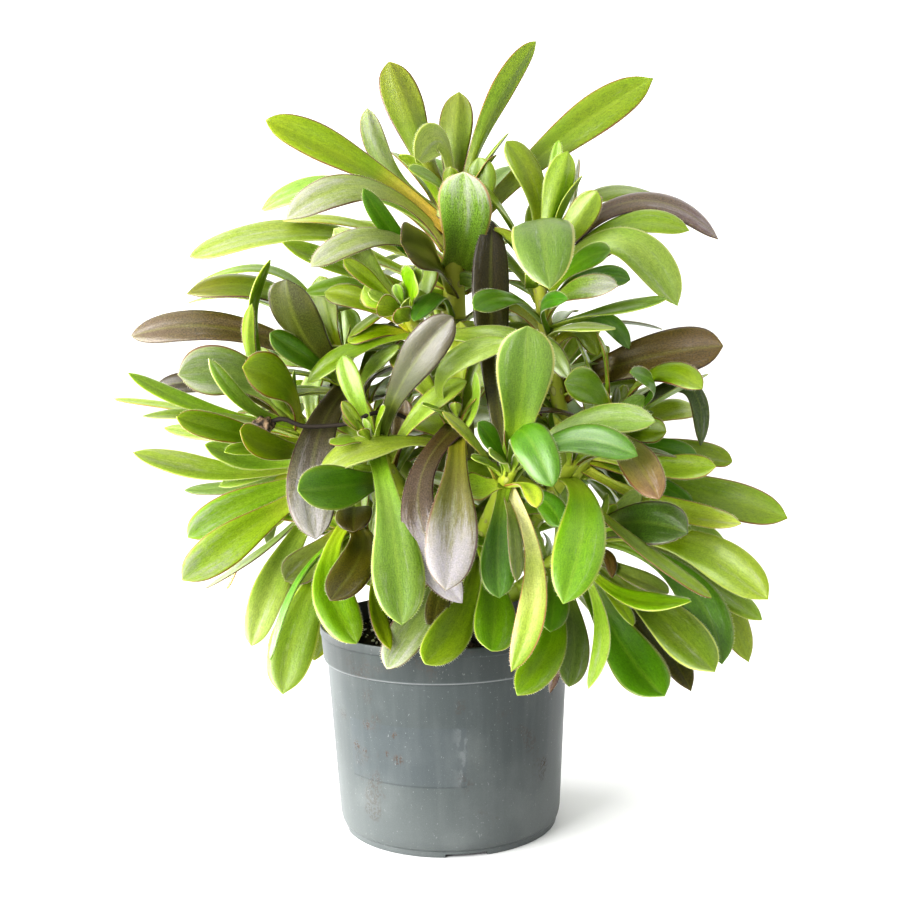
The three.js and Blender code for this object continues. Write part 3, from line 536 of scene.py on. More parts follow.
HEADS = {
    "crown_head": shoot((10, 340, 4), (10, 402, 0), 0, 8, (9, 5, 175, 105), [
        (0.9, -50, 441, -110, 470, -25, 23, 30, "amber"), (1, -35, 445, -44, 476, 12, 16, 205, "silver"),
        (1, -16, 465, -29, 505, 5, 26, 200, "edged"), (1, 13, 458, 16, 485, 15, 22, 180, "edged"),
        (1, 0, 456, -13, 440, -22, 22, 180, "pale"), (0.6, 2, 428, -18, 437, -38, 13, 80, "leaf"),
        (0.9, 45, 487, 66, 516, 10, 17, 150, "lime"), (0.8, 100, 467, 142, 491, 5, 26, 20, "lime"),
        (0.8, 78, 448, 112, 468, 32, 19, 60, "leaf"), (0.5, 18, 400, 18, 434, -46, 36, 10, "frost"),
        (0.9, 28, 420, 28, 443, -8, 20, 10, "leaf"), (0.8, -50, 426, -99, 406, -40, 24, 30, "silver"),
        (0.9, -72, 424, -115, 412, 6, 20, 45, "pale"), (0.6, -58, 402, -101, 405, -12, 15, 60, "straw"),
        (0.3, -30, 397, -48, 425, -46, 20, 0, "deep"), (0.6, -95, 398, -163, 383, -20, 25, 60, "pale"),
        (0.1, -58, 374, -102, 391, -30, 18, 40, "leaf"), (0.5, -38, 393, -84, 375, -56, 18, 30, "silver"),
        (0.3, -6, 384, -24, 389, -66, 34, 35, "olive"), (0.1, 14, 364, 27, 361, -6, 10, 0, "pale"),
        (0, -2, 354, -17, 338, -62, 14, 30, "deep"), (0.2, -40, 362, -88, 358, -14, 20, 50, "leaf"),
        (0.1, -42, 352, -84, 343, 2, 18, 60, "pale"), (0.3, -45, 380, -76, 396, 24, 20, 60, "straw"),
    ]),
    "right_upper_head": shoot((80, 268, -6), (64, 372, -14), 150, 5.5, (7, -10, 120, 100), [
        (1, 59, 434, 46, 453, -10, 20, 30, "leaf"), (1, 78, 422, 86, 446, -22, 20, 160, "leaf"),
        (1, 76, 425, 80, 453, 2, 9, 20, "leaf"), (1, 88, 412, 93, 441, 6, 10, 80, "frost"),
        (1, 42, 410, 22, 432, -22, 13, 80, "leaf"), (0.95, 90, 398, 105, 420, -42, 19, 180, "lime"),
        (1, 118, 421, 163, 403, 26, 22, 60, "leaf"), (1, 128, 408, 184, 387, 0, 24, 60, "plum"),
        (0.95, 132, 397, 165, 393, -20, 20, 45, "leaf"), (0.95, 118, 386, 157, 344, -32, 26, 20, "pale"),
        (0.95, 67, 402, 73, 357, -114, 40, 0, "matt"), (0.85, 94, 375, 113, 381, -62, 16, 20, "deep"),
        (0.85, 96, 363, 126, 362, -46, 16, 40, "deep"), (0.8, 90, 356, 118, 358, -72, 17, 30, "frost"),
        (0.75, 106, 342, 150, 349, -56, 18, 60, "leaf"), (0.7, 86, 332, 116, 330, -62, 16, 60, "pale"),
        (0.8, 42, 352, 23, 345, -84, 18, 30, "deep"), (0.65, 93, 328, 104, 312, -22, 13, 0, "lime"),
        (0.65, 108, 336, 125, 316, -20, 12, 0, "deep"), (0.7, 118, 336, 147, 329, 8, 12, 85, "grey"),
        (0.75, 70, 348, 85, 350, -78, 11, 20, "deep"), (0.7, 70, 322, 85, 298, -62, 13, 10, "grey"),
        (0.2, 135, 311, 187, 317, -34, 39, 20, "brown"),
    ]),
    "rosette_head": shoot((-8, 318, -12), (-22, 344, -40), 262, 4.5, (5, 30, 170, 48), [
        (1, -40, 362, -50, 380, -30, 18, 150, "lime"), (1, -31, 347, -41, 349, -62, 15, 170, "lime"),
        (1, -23, 341, -28, 346, -64, 14, 180, "lime"), (1, -22, 356, -22, 365, -46, 12, 180, "lime"),
        (1, -15, 349, -9, 356, -46, 12, 180, "lime"), (0.5, -40, 332, -61, 325, -32, 16, 45, "lime"),
        (0.2, -45, 322, -76, 322, -22, 12, 80, "pale"),
    ]),
    "left_upper_head": shoot((-50, 278, 0), (-64, 304, -8), 205, 5.5, (6, 60, 190, 95), [
        (1, -91, 340, -100, 367, -48, 33, 150, "umber"), (1, -112, 358, -166, 359, -22, 26, 45, "edged"),
        (1, -112, 374, -160, 365, 12, 24, 60, "leaf"), (1, -114, 350, -166, 353, -4, 14, 80, "leaf"),
        (1, -140, 334, -204, 332, -10, 24, 30, "drab"), (0.8, -88, 315, -112, 332, -44, 24, 20, "deep"),
        (1, -60, 322, -62, 347, 20, 20, 150, "leaf"), (0.9, -86, 250, -86, 194, -88, 32, 0, "ashen"),
        (0.3, -50, 302, -27, 322, -22, 11, 30, "pale"), (0.5, -44, 303, -26, 308, 24, 9, 80, "brown"),
        (0.3, -42, 289, -22, 291, 26, 9, 80, "brown"),
    ]),
    "left_head": shoot((-66, 232, -4), (-97, 274, -16), 170, 5.5, (5, 90, 200, 95), [
        (1, -140, 307, -174, 306, -56, 33, 0, "silver"), (0.95, -134, 288, -153, 316, -76, 11, 20, "pale"),
        (0.9, -108, 300, -131, 310, -64, 29, 20, "lime"), (0.95, -124, 346, -110, 380, -36, 15, 60, "leaf"),
        (0.95, -126, 325, -123, 352, -52, 14, 160, "lime"), (1, -146, 298, -190, 297, -14, 15, 30, "umber"),
        (0.95, -168, 288, -207, 308, -38, 20, 40, "leaf"),
        (0.85, -165, 283, -217, 291, -4, 13, 70, "straw"), (0.8, -150, 279, -199, 279, -40, 16, 60, "pale"),
        (0.8, -150, 266, -185, 271, 8, 18, 30, "pale"), (0.7, -140, 267, -176, 278, -62, 19, 30, "lime"),
        (0.6, -112, 257, -134, 268, -78, 21, 15, "lime"), (0.6, -125, 254, -145, 254, -60, 12, 40, "leaf"),
        (0.5, -135, 250, -158, 259, -34, 18, 30, "pale"), (0.4, -160, 241, -206, 255, -28, 18, 30, "pale"),
        (0.3, -143, 230, -173, 229, 2, 16, 40, "grey"), (0.3, -125, 238, -150, 231, -18, 11, 30, "pale"),
        (0.15, -137, 217, -172, 197, -58, 25, 20, "rayed"),
        (0.14, -137, 197, -177, 168, -80, 28, 10, "rayed"),
        (0.14, -126, 184, -162, 162, -52, 15, 60, "silver"), (0.14, -112, 212, -118, 189, 0, 9, 20, "pale"),
        (0.14, -113, 168, -132, 122, -62, 23, 20, "pale"),
    ]),
    "left_low_head": shoot((-34, 168, -8), (-64, 208, -26), 147, 5, (5, 95, 215, 85), [
        (0.8, -98, 140, -112, 88, -76, 32, 10, "tender"), (1, -78, 168, -61, 122, -98, 28, 5, "fresh"),
        (0.9, -57, 182, -78, 152, -108, 26, 10, "olive"), (1, -90, 181, -108, 166, -42, 24, 20, "grey"),
        (1, -60, 214, -61, 198, -74, 24, 0, "olive"), (0.3, -47, 148, -38, 117, -84, 18, 10, "lime"),
        (1, -101, 165, -120, 112, -92, 11, 70, "deep"),
    ]),
    "left_front_head": shoot((-28, 226, -22), (-46, 258, -48), 176, 5, (1, 100, 200, 60), [
        (1, -34, 196, -30, 134, -112, 35, 0, "striped"), (0.3, -65, 229, -97, 227, -102, 31, 5, "deep"),
        (0.9, -24, 300, 9, 340, -78, 27, 10, "sheen"), (0.9, -56, 272, -66, 286, -58, 9, 30, "straw"),
        (1, -57, 260, -70, 262, -50, 9, 50, "pale"), (0.6, -29, 262, -24, 286, -32, 14, 20, "brown"),
    ]),
    "trunk_shoot": shoot((12, 240, -26), (10, 270, -42), 205, 5, (2, 60, 150, 60), [
        (0.9, 7, 215, 0, 157, -118, 34, 0, "blanched"), (1, -17, 222, 11, 148, -96, 42, 0, "lilac"),
        (0.9, -1, 298, 47, 323, -66, 18, 30, "pale"), (0.8, 24, 284, 23, 304, -62, 8, 40, "pale"),
        (0.9, -12, 296, -37, 294, 8, 12, 75, "straw"), (1, 8, 306, 22, 337, -16, 20, 150, "straw"),
    ]),
    "front_head": shoot((20, 184, -20), (45, 238, -68), 150, 5.5, (0, 0, 0, 0), [
        (1, 35, 318, 36, 402, -25, 40, 10, "umber"), (1, 54, 288, 58, 333, -106, 38, 0, "matt"),
        (0.95, 36, 254, 24, 270, -86, 14, 30, "deep"), (0.95, 30, 243, 19, 247, -76, 9, 60, "leaf"),
        (0.9, 30, 228, 14, 226, -72, 22, 30, "straw"), (1, 54, 262, 73, 226, -124, 27, 0, "deep"),
        (0.95, 36, 190, 36, 151, -106, 24, 0, "deep"), (0.95, 60, 166, 43, 100, -112, 19, 10, "blond"),
        (0.9, 46, 200, 48, 162, -98, 12, 40, "grey"), (0.95, 58, 224, 62, 212, -108, 12, 10, "straw"),
        (0.9, 70, 214, 78, 199, -92, 17, 0, "deep"), (0.9, 86, 257, 130, 245, -98, 21, 20, "deep"),
        (0.95, 98, 269, 142, 268, -80, 21, 20, "pale"), (0.2, 33, 142, 30, 115, -94, 28, 0, "fresh"),
        (0.1, 8, 136, -15, 107, -96, 27, 0, "leaf"), (0.1, -14, 143, -41, 104, -84, 27, 10, "silver"),
        (0.2, -2, 158, -9, 128, -74, 24, 10, "olive"),
    ]),
    "right_low_head": shoot((52, 158, -14), (100, 196, -40), 146, 6, (4, -20, 100, 95), [
        (0.9, 133, 200, 163, 192, -92, 33, 20, "slate"), (0.95, 168, 150, 186, 102, -76, 29, 10, "deep"),
        (1, 186, 142, 204, 103, -44, 23, 20, "lime"), (1, 188, 152, 213, 132, -60, 20, 30, "leaf"),
        (1, 182, 175, 217, 146, -82, 29, 10, "leaf"), (1, 172, 191, 190, 180, -38, 16, 30, "leaf"),
        (0.8, 154, 128, 181, 97, -98, 31, 10, "tender"), (0.7, 147, 114, 165, 84, -70, 21, 20, "olive"),
        (0.8, 124, 110, 147, 81, -108, 33, 10, "deep"), (0.8, 128, 147, 165, 146, -116, 18, 30, "fresh"),
        (0.8, 124, 166, 150, 152, -78, 15, 40, "grey"), (0.8, 103, 128, 95, 87, -122, 15, 30, "pale"),
        (0.6, 86, 126, 82, 89, -90, 21, 10, "grey"), (0.6, 76, 116, 69, 85, -96, 10, 30, "plum"),
        (0.8, 114, 150, 126, 130, -82, 10, 20, "leaf"), (0.5, 70, 118, 47, 84, -114, 25, 10, "fresh"),
        (0.7, 109, 178, 112, 163, -60, 8, 20, "brown"), (0.4, 73, 150, 70, 127, -86, 20, 0, "deep"),
    ]),
    "right_front_head": shoot((64, 208, -22), (86, 240, -46), 160, 5, (0, 0, 0, 0), [
        (0.8, 93, 204, 79, 146, -126, 33, 0, "fresh"), (0.9, 120, 192, 179, 148, -104, 14, 50, "lime"),
    ]),
    "right_head": shoot((84, 228, -2), (110, 264, -14), 182, 5, (5, -20, 110, 95), [
        (1, 102, 290, 82, 295, -78, 23, 10, "fresh"), (0.95, 78, 275, 53, 273, -22, 12, 80, "plum"),
        (1, 150, 301, 173, 289, -62, 24, 40, "lime"), (1, 141, 292, 125, 301, -68, 14, 40, "deep"),
        (1, 138, 274, 156, 287, -30, 12, 30, "deep"), (1, 166, 288, 172, 251, -20, 12, 40, "slate"),
        (1, 124, 281, 141, 292, 20, 14, 45, "straw"), (1, 116, 280, 121, 293, 14, 12, 45, "straw"),
        (0.95, 130, 262, 149, 261, -42, 18, 20, "lime"), (1, 126, 246, 144, 216, -106, 24, 0, "bronze"),
        (0.9, 130, 252, 156, 244, -58, 10, 60, "grey"), (0.9, 140, 252, 170, 243, -30, 15, 30, "deep"),
        (0.85, 158, 248, 193, 240, -18, 17, 30, "lime"), (0.7, 150, 238, 182, 237, -56, 18, 20, "straw"),
        (0.6, 148, 224, 168, 209, -34, 18, 20, "deep"), (0.7, 188, 214, 230, 201, -46, 27, 20, "lime"),
        (0.5, 156, 208, 199, 198, -72, 16, 20, "straw"),
    ]),
    "back_left_head": shoot((-48, 236, 44), (-70, 282, 66), 188, 5, (13, 30, 235, 98)),
    "back_right_head": shoot((52, 244, 46), (74, 296, 70), 196, 5, (13, -60, 150, 98)),
    "back_middle_head": shoot((4, 282, 40), (0, 334, 62), 236, 5, (10, 15, 165, 95)),
    "back_low_left_head": shoot((-30, 168, 36), (-52, 206, 60), 148, 5, (12, 55, 215, 105)),
    "back_low_right_head": shoot((40, 170, 40), (62, 212, 64), 152, 5, (12, -45, 130, 105)),
}


# ---- Trunk and branches: fleshy stems that turn woody, ringed by the scars of fallen leaves ----
# The trunk stands in the soil and each branch curves out of it to the foot of a head. Old wood is
# brown-olive, younger branches are green, and the scars are pale with a dark line round them.
TRUNK_RADIUS = 9
TRUNK_LINE = [(4, 8, 92), (6, 10, 150), (12, 8, 215), (13, 6, 280), (9, 4, 338)]
# A branch leaves the trunk outwards with this rise, and these shares of its span shape its curve.
BRANCH_RISE = 0.5
LEAVING_SHARE = 0.35
ARRIVING_SHARE = 0.4
TRUNK_STEPS = 20
BRANCH_STEPS = 28
STEM_SIDES = 28
# Kinds of wood: the radius at its foot and its top as shares of the whole, how far its scars swell, and
# its colours low on the plant and high.
WOOD = {
    "trunk": (0.97, 0.9, 0.5, colour(96, 88, 42), colour(112, 116, 46)),
    "branch": (0.97, 0.93, 0.35, colour(142, 160, 44), colour(110, 128, 36)),
    "shoot": (0.94, 0.8, 0.3, colour(150, 172, 50), colour(168, 172, 66)),
    "root": (1, 0.8, 0.25, colour(96, 88, 42), colour(112, 116, 46)),
}
# Two spirals wind along a stem, in radians a millimetre, and scars swell where they meet.
SCAR_SPIRALS = (0.45, 0.62)
OLD_WOOD_HEIGHT = 130
OLD_WOOD_FADE = 200
SCAR_PALE = colour(190, 184, 138)
SCAR_DARK = colour(84, 70, 40)
CORK = colour(120, 104, 72)


def paint(mesh, name, values):
    """Gives a mesh a colour or a number at each point."""
    if values.ndim == 2:
        mesh.attributes.new(name, "FLOAT_COLOR", "POINT").data.foreach_set("color", values.ravel())
    else:
        mesh.attributes.new(name, "FLOAT", "POINT").data.foreach_set("value", values)


def smooth_line(points, steps):
    """A Catmull-Rom curve through the points."""
    ends = [points[0] * 2 - points[1], *points, points[-1] * 2 - points[-2]]
    line = []
    for a, b, c, d in zip(ends, ends[1:], ends[2:], ends[3:]):
        for step in range(steps):
            t = step / steps
            line.append(
                (b * 2 + (c - a) * t + (a * 2 - b * 5 + c * 4 - d) * t * t
                 + (b * 3 - a - c * 3 + d) * t * t * t) / 2
            )
    return [*line, points[-1]]


def numbers(source, name, width):
    """An array of one of a mesh's values, in rows."""
    values = np.zeros(len(source) * width)
    source.foreach_get(name, values)
    return values.reshape(-1, width)


def tube(line, radius, wood, sides=STEM_SIDES):
    """A closed tube along a line of points, with a UV map in units of 100 mm."""
    thick, thin, swell, low, high = WOOD[wood]
    form = bmesh.new()
    bmesh.ops.create_grid(form, x_segments=sides, y_segments=len(line) - 1, size=1)
    layer = form.loops.layers.uv.new("UVMap")
    length = sum((b - a).length for a, b in zip(line, line[1:]))
    for face in form.faces:
        for loop in face.loops:
            share = loop.vert.co.y / 2 + 0.5
            loop[layer].uv = (loop.vert.co.x / 2 + 0.5, share * length / 100)
    side = (line[1] - line[0]).normalized().orthogonal().normalized()
    frames = []
    for i, point in enumerate(line):
        ahead = (line[min(i + 1, len(line) - 1)] - line[max(i - 1, 0)]).normalized()
        side = (side - ahead * side.dot(ahead)).normalized()
        frames.append((point, side.copy(), ahead.cross(side)))
    for vert in form.verts:
        share = vert.co.y / 2 + 0.5
        around = vert.co.x * math.pi
        point, side, other = frames[round(share * (len(line) - 1))]
        first, second = (share * length * spiral for spiral in SCAR_SPIRALS)
        ridge = math.cos(2 * around + first) * math.cos(second - around)
        out = radius * thick + (radius * thin - radius * thick) * share + swell * max(ridge, 0) ** 2
        vert.co = (point + side * math.cos(around) * out + other * math.sin(around) * out) * MM
    bmesh.ops.remove_doubles(form, verts=form.verts[:], dist=1e-7)
    bmesh.ops.holes_fill(form, edges=form.edges[:], sides=0)
    bmesh.ops.recalc_face_normals(form, faces=form.faces[:])
    mesh = mesh_of("tube", form)
    heights = numbers(mesh.vertices, "co", 3)[:, 2:] / MM
    shares = np.clip((heights - OLD_WOOD_HEIGHT) / OLD_WOOD_FADE, 0, 1)
    paint(mesh, "tone", np.array(low) * (1 - shares) + np.array(high) * shares)
    return mesh


def joined(meshes):
    """One bmesh of several meshes, which are then dropped."""
    form = bmesh.new()
    for mesh in meshes:
        form.from_mesh(mesh)
        bpy.data.meshes.remove(mesh)
    return form


def bark():
    material, tree, shader = finish("stem_skin")
    tone = add(tree, "Attribute", attribute_name="tone").outputs["Color"]
    chart = {0: add(tree, "UVMap").outputs["UV"], 1: (5, 9, 1)}
    stretched = add(tree, "VectorMath", chart, operation="MULTIPLY").outputs["Vector"]
    cells = add(tree, "TexVoronoi", {"Vector": stretched, "Scale": 1.0, "Randomness": 0.55})
    away = cells.outputs["Distance"]
    scar = between(away, 0.34, 0.26)
    ring = times(scar, between(away, 0.2, 0.28))
    base = mixed(times(scar, 0.4), tone, SCAR_PALE)
    base = mixed(times(ring, 0.5), base, SCAR_DARK)
    cork = patchy(tree, 70, 0.5, 0.7, (1, 1, 0.4))
    base, grain = grainy(tree, mixed(times(cork, 0.25), base, CORK), 1600, 0.35)
    normal = bumped(plus(times(scar, 0.6), grain), 0.5, 0.0005)
    feed(tree, shader, {"Base Color": base, "Roughness": 0.55, "Normal": normal})
    return material


def branch_line(head, trunk):
    """The curve of a branch, from the trunk at the height where it joins to the foot of its head."""
    start = min(trunk, key=lambda point: abs(point.z - head["joins"]))
    end = head["foot"]
    span = (end - start).length
    outward = Vector((end.x - start.x, end.y - start.y, span * BRANCH_RISE)).normalized()
    first = start + outward * span * LEAVING_SHARE
    second = end - head["axis"] * span * ARRIVING_SHARE
    return geometry.interpolate_bezier(start, first, second, end, BRANCH_STEPS)


STEM_SKIN = bark()


def make_stems():
    trunk = smooth_line([Vector(place) for place in TRUNK_LINE], TRUNK_STEPS)
    branched = [head for head in HEADS.values() if head["joins"]]
    parts = [tube(trunk, TRUNK_RADIUS, "trunk")]
    parts += [tube(branch_line(head, trunk), head["stem"], "branch") for head in branched]
    piece("trunk_and_branches", joined(parts), [STEM_SKIN], "stem", "stems")


make_stems()


# ---- Leaves: thick waxy blades on narrow stalks, fringed with fine pale hairs ----
# One blank is bent to every leaf's own midrib, width and turn. The frame shows how far a crowded leaf
# gave way, because its tip is a corner of its head's solid. Colours run from stalk to tip in each leaf.
BLADE_THICKNESS = 2.4
EDGE_THICKNESS = 0.55
REACH = 0.62
ROOT_SPREAD = 0.2
ROOT_DEPTH = 0.6
FREE_FROM = 0.4
BENDS = [0, -8, 8, -16, 16, -25, 25, -36, 36]
SAME_CORNER = 0.1
STEEPEST = 68
FALL = 100
SCATTER = 14
GOLDEN_SHARE = 0.618034
YOUNG_LENGTH = 0.55
YOUNG_WIDTH = 19
OLD_WIDTH = 30
ARCH = 0.09
DROOP = 0.1
STEM_USED = 0.85
# The blade's half width along its midrib, as shares of its widest.
OUTLINE_AT = [0, 0.12, 0.25, 0.38, 0.5, 0.61, 0.71, 0.79, 0.86, 0.915, 0.955, 0.98, 1]
OUTLINE = [0.4, 0.32, 0.36, 0.48, 0.68, 0.88, 1.0, 0.99, 0.9, 0.74, 0.51, 0.27, 0.02]
WIDEST = 0.71
# Its thickness along the midrib, and the depth of its channel, as shares.
THICKNESS_AT, THICKNESS = [0, 0.34, 0.68, 0.9, 1], [1.25, 1.1, 0.9, 0.6, 0.25]
CHANNEL_AT, CHANNEL = [0.3, 0.65, 1], [1.5, 0.9, 0.4]
BLANK_ROWS = 32
BLANK_COLUMNS = 12
# Rows stand closer toward the tip, and columns toward the margin, by these powers.
CLOSER_TO_TIP = 1.25
CLOSER_TO_MARGIN = 0.85
HAIRS = 80
HAIRS_FROM = 0.2
HAIRS_SPAN = 0.78
HAIR_LENGTH = 1.0
HAIR_ROOT = 0.02
HAIR_SECTION = (0.25, 0.0018)
HAIR_PALE = colour(222, 224, 190)
UNDERSIDE = colour(140, 156, 84)
# Finishes: stalk, blade, tip, margin, bloom and sheen. That last is how far whitish wax and a painted
# whitish sheen cover the leaf at its tip.
FINISHES = {
    "lime": ((182, 188, 66), (110, 131, 4), (115, 134, 12), (112, 60, 44), 0.15),
    "amber": ((226, 194, 124), (112, 133, 4), (117, 136, 14), (104, 58, 46), 0.15),
    "fresh": ((172, 194, 60), (104, 140, 8), (99, 132, 20), (146, 152, 66), 0.2),
    "edged": ((178, 160, 70), (102, 122, 8), (108, 110, 24), (84, 36, 42), 0.1),
    "leaf": ((160, 182, 60), (114, 139, 26), (116, 140, 36), (150, 160, 76), 0.2),
    "tender": ((150, 178, 58), (92, 118, 24), (94, 118, 34), (166, 176, 84), 0.2),
    "straw": ((190, 204, 96), (150, 172, 62), (148, 166, 62), (138, 98, 58), 0.3),
    "rayed": ((200, 206, 100), (142, 166, 46), (136, 162, 54), (128, 78, 56), 0.55),
    "matt": ((150, 178, 58), (88, 112, 30), (92, 114, 40), (164, 160, 98), 0.25),
    "pale": ((172, 192, 90), (124, 147, 58), (132, 152, 76), (168, 174, 110), 0.35),
    "frost": ((172, 192, 90), (118, 144, 62), (132, 152, 82), (150, 118, 88), 0.6),
    "silver": ((184, 194, 126), (128, 146, 90), (134, 150, 104), (101, 63, 62), 0.6),
    "deep": ((124, 148, 36), (78, 118, 12), (72, 110, 16), (108, 118, 58), 0.12),
    "grey": ((150, 164, 80), (104, 124, 62), (98, 116, 64), (105, 84, 73), 0.3),
    "slate": ((122, 132, 66), (78, 104, 40), (74, 96, 42), (69, 50, 46), 0.3),
    "olive": ((146, 140, 37), (94, 94, 24), (80, 74, 28), (63, 34, 29), 0.15),
    "brown": ((130, 100, 40), (112, 92, 44), (104, 80, 44), (52, 27, 23), 0.2),
    "bronze": ((150, 146, 62), (114, 116, 64), (112, 88, 60), (101, 46, 40), 0.3),
    "drab": ((96, 84, 50), (98, 86, 58), (110, 98, 84), (60, 38, 36), 0.2),
    "umber": ((92, 92, 30), (62, 58, 18), (56, 48, 28), (40, 22, 23), 0.12),
    "plum": ((130, 99, 55), (96, 76, 62), (112, 90, 90), (57, 32, 40), 0.4),
    "ashen": ((80, 70, 44), (90, 82, 70), (124, 114, 114), (70, 46, 48), 0.75),
    "lilac": ((90, 76, 50), (94, 80, 66), (112, 98, 90), (78, 50, 52), 1),
    "blanched": ((124, 124, 38), (108, 108, 62), (102, 96, 78), (94, 59, 54), 0.9),
    "sheen": ((91, 103, 34), (70, 68, 36), (74, 64, 50), (58, 32, 34), 0.25),
    "striped": ((148, 186, 66), (101, 130, 44), (97, 124, 44), (164, 180, 92), 0.3),
    "blond": ((232, 226, 190), (178, 186, 112), (122, 146, 32), (190, 122, 96), 0.2),
}
# Every leaf is a little warmer than its finish, and each differs in light and in red by chance.
WARM_RED = 1.05
WARM_BLUE = 0.92
UNEVEN_LIGHT = 0.09
UNEVEN_RED = 0.07
# A leaf's chart is laid out in millimetres across and along it.
UV_UNIT = (30, 100)
# Old leaves have dark finishes and broad stalks.
OLD_FINISHES = ["olive", "brown", "umber", "plum", "slate", "frost", "ashen", "drab", "lilac"]
AGED = 0.6
# The whitish colour of wax bloom and of painted sheen on the leaves.
BLOOM_AND_SHEEN_WHITE = colour(156, 152, 156)
LEAF_SUNLIT = colour(150, 182, 20)
LEAF_FLECK = colour(140, 160, 90)
LEAF_AGED = colour(120, 112, 96)
LEAF_MIDRIB_HIGHLIGHT = colour(190, 206, 90)
# How unlike one another the leaves are. One that bends by FLAT_BEND has lost its channel.
TWIST = 12
LEAN = 0.06
FLAT_BEND = math.radians(75)
SHEET_ROWS = 11
SHEET_COLUMNS = 4
NARROWING = [1, 0.94, 0.87, 0.8, 0.72, 0.64]
BUD_LEAVES = 5
INNER_LEAVES = 2
INNER_TRIES = 10
# No young leaf points at the viewer, where the photographed leaves are.
TOWARD_VIEWER = -0.5
YOUNG_FINISHES = ["lime", "straw", "leaf", "straw", "pale"]
RISING_FINISHES = ["leaf", "lime", "pale", "fresh", "straw", "leaf", "straw", "edged"]
SHOOT_STEPS = 24
FIRST_SEED = 20417
SEED_FACTOR = 16807
SEED_RANGE = 2147483647


def leaf_blank():
    """A flat leaf: x is -1 to 1 across, y is 0 to 1 along, z is 0 on the upper face and -1 below. Hairs
    stand out beyond x = 1 and -1."""
    form = bmesh.new()
    bmesh.ops.create_grid(form, x_segments=BLANK_COLUMNS, y_segments=BLANK_ROWS, size=1)
    for vert in form.verts:
        share = vert.co.y / 2 + 0.5
        vert.co.y = 1 - (1 - share) ** CLOSER_TO_TIP
        vert.co.x = math.copysign(abs(vert.co.x) ** CLOSER_TO_MARGIN, vert.co.x)
    layer = form.loops.layers.uv.new("UVMap")
    bmesh.ops.solidify(form, geom=form.verts[:] + form.edges[:] + form.faces[:], thickness=1)
    levels = [vert.co.z for vert in form.verts]
    top, low = max(levels), min(levels)
    for vert in form.verts:
        vert.co.z = (vert.co.z - top) / (top - low)
    bmesh.ops.recalc_face_normals(form, faces=form.faces[:])
    for side in (-1, 1):
        for i in range(HAIRS):
            at = HAIRS_FROM + HAIRS_SPAN * (i + 0.5 * rng.random()) / HAIRS
            reach = 0.6 + 0.6 * rng.random()
            turn = Matrix.Rotation(side * math.pi / 2, 4, "Y")
            place = Matrix.Translation((side * (1 - HAIR_ROOT + reach / 2), at, -0.5))
            shape = place @ turn @ Matrix.Diagonal((*HAIR_SECTION, reach, 1))
            bmesh.ops.create_cone(
                form, cap_ends=True, segments=3, radius1=1, radius2=0, depth=1, matrix=shape,
            )
    for face in form.faces:
        for loop in face.loops:
            loop[layer].uv = (loop.vert.co.x / 2 + 0.5, loop.vert.co.y)
    return mesh_of("leaf_blank", form)


def unit(rows):
    return rows / np.linalg.norm(rows, axis=1, keepdims=True)


def outline(places):
    """The half-width share at each place: a curve through OUTLINE's points with no kinks."""
    at, share = np.array(OUTLINE_AT), np.array(OUTLINE)
    slopes = np.gradient(share, at)
    i = np.clip(np.searchsorted(at, places) - 1, 0, len(at) - 2)
    step = at[i + 1] - at[i]
    t = (places - at[i]) / step
    return (
        share[i] * (1 + 2 * t) * (1 - t) ** 2 + slopes[i] * step * t * (1 - t) ** 2
        + share[i + 1] * t * t * (3 - 2 * t) - slopes[i + 1] * step * t * t * (1 - t)
    )


BLANK = leaf_blank()
BLANK_PLACES = numbers(BLANK.vertices, "co", 3)
BLANK_UV = numbers(BLANK.uv_layers["UVMap"].data, "uv", 2)


def as_grown(leaf, corners):
    """The leaf with the bend that the frame shows, or None if the frame has no such leaf."""
    for amount in BENDS:
        shift = leaf["sway"] * amount
        tip = leaf["tip"] + shift
        if corners.find(tip)[2] < SAME_CORNER:
            return {**leaf, "tip": tip, "mid": leaf["mid"] + shift / 2}
    return None


def seen_leaf(head, row, index):
    """A leaf read from the front view. Its root lies a little lower the later it comes in its list."""
    up, mid_x, mid_z, tip_x, tip_z, row_depth, width, turn, tint = row
    depth = row_depth * DEPTH_SCALE
    lower = ROOT_SPREAD * index / len(head["leaves"]) if up > FREE_FROM else 0
    root = head["foot"].lerp(head["top"], up - lower)
    mid_depth = root.y + (depth - root.y) * REACH
    mid = seen(mid_x, mid_z, mid_depth)
    tip = seen(tip_x, tip_z, depth)
    to_viewer = (EYE - mid).normalized()
    side = (tip - root).cross(to_viewer).normalized()
    if tip.x > root.x:
        side.negate()
    angle = math.radians(turn)
    face = to_viewer * math.cos(angle) + side * math.sin(angle)
    root = root + (mid - root).normalized() * head["stem"] * ROOT_DEPTH
    width = width * (1 - mid_depth / EYE.y)
    sway = (tip - EYE).normalized()
    return {"root": root, "mid": mid, "tip": tip, "face": face, "sway": sway, "width": width, "tint": tint}


def climbing(head, out, climb):
    """The way from a shoot that climbs by an angle from straight out to along the shoot."""
    return out * math.cos(climb) + head["axis"] * math.sin(climb)


def standing_leaf(head, root, out, along, reach, age, width, finishes):
    """A leaf that stands out from its shoot, a little arched, with a finish drawn from a list."""
    axis = head["axis"]
    mid = root + along * reach / 2 + axis * reach * ARCH
    tip = root + along * reach
    tip.z -= reach * DROOP * age
    tint = finishes[int(rng.integers(len(finishes)))]
    face = axis - out * REACH
    return {"root": root, "mid": mid, "tip": tip, "face": face, "sway": axis, "width": width, "tint": tint}


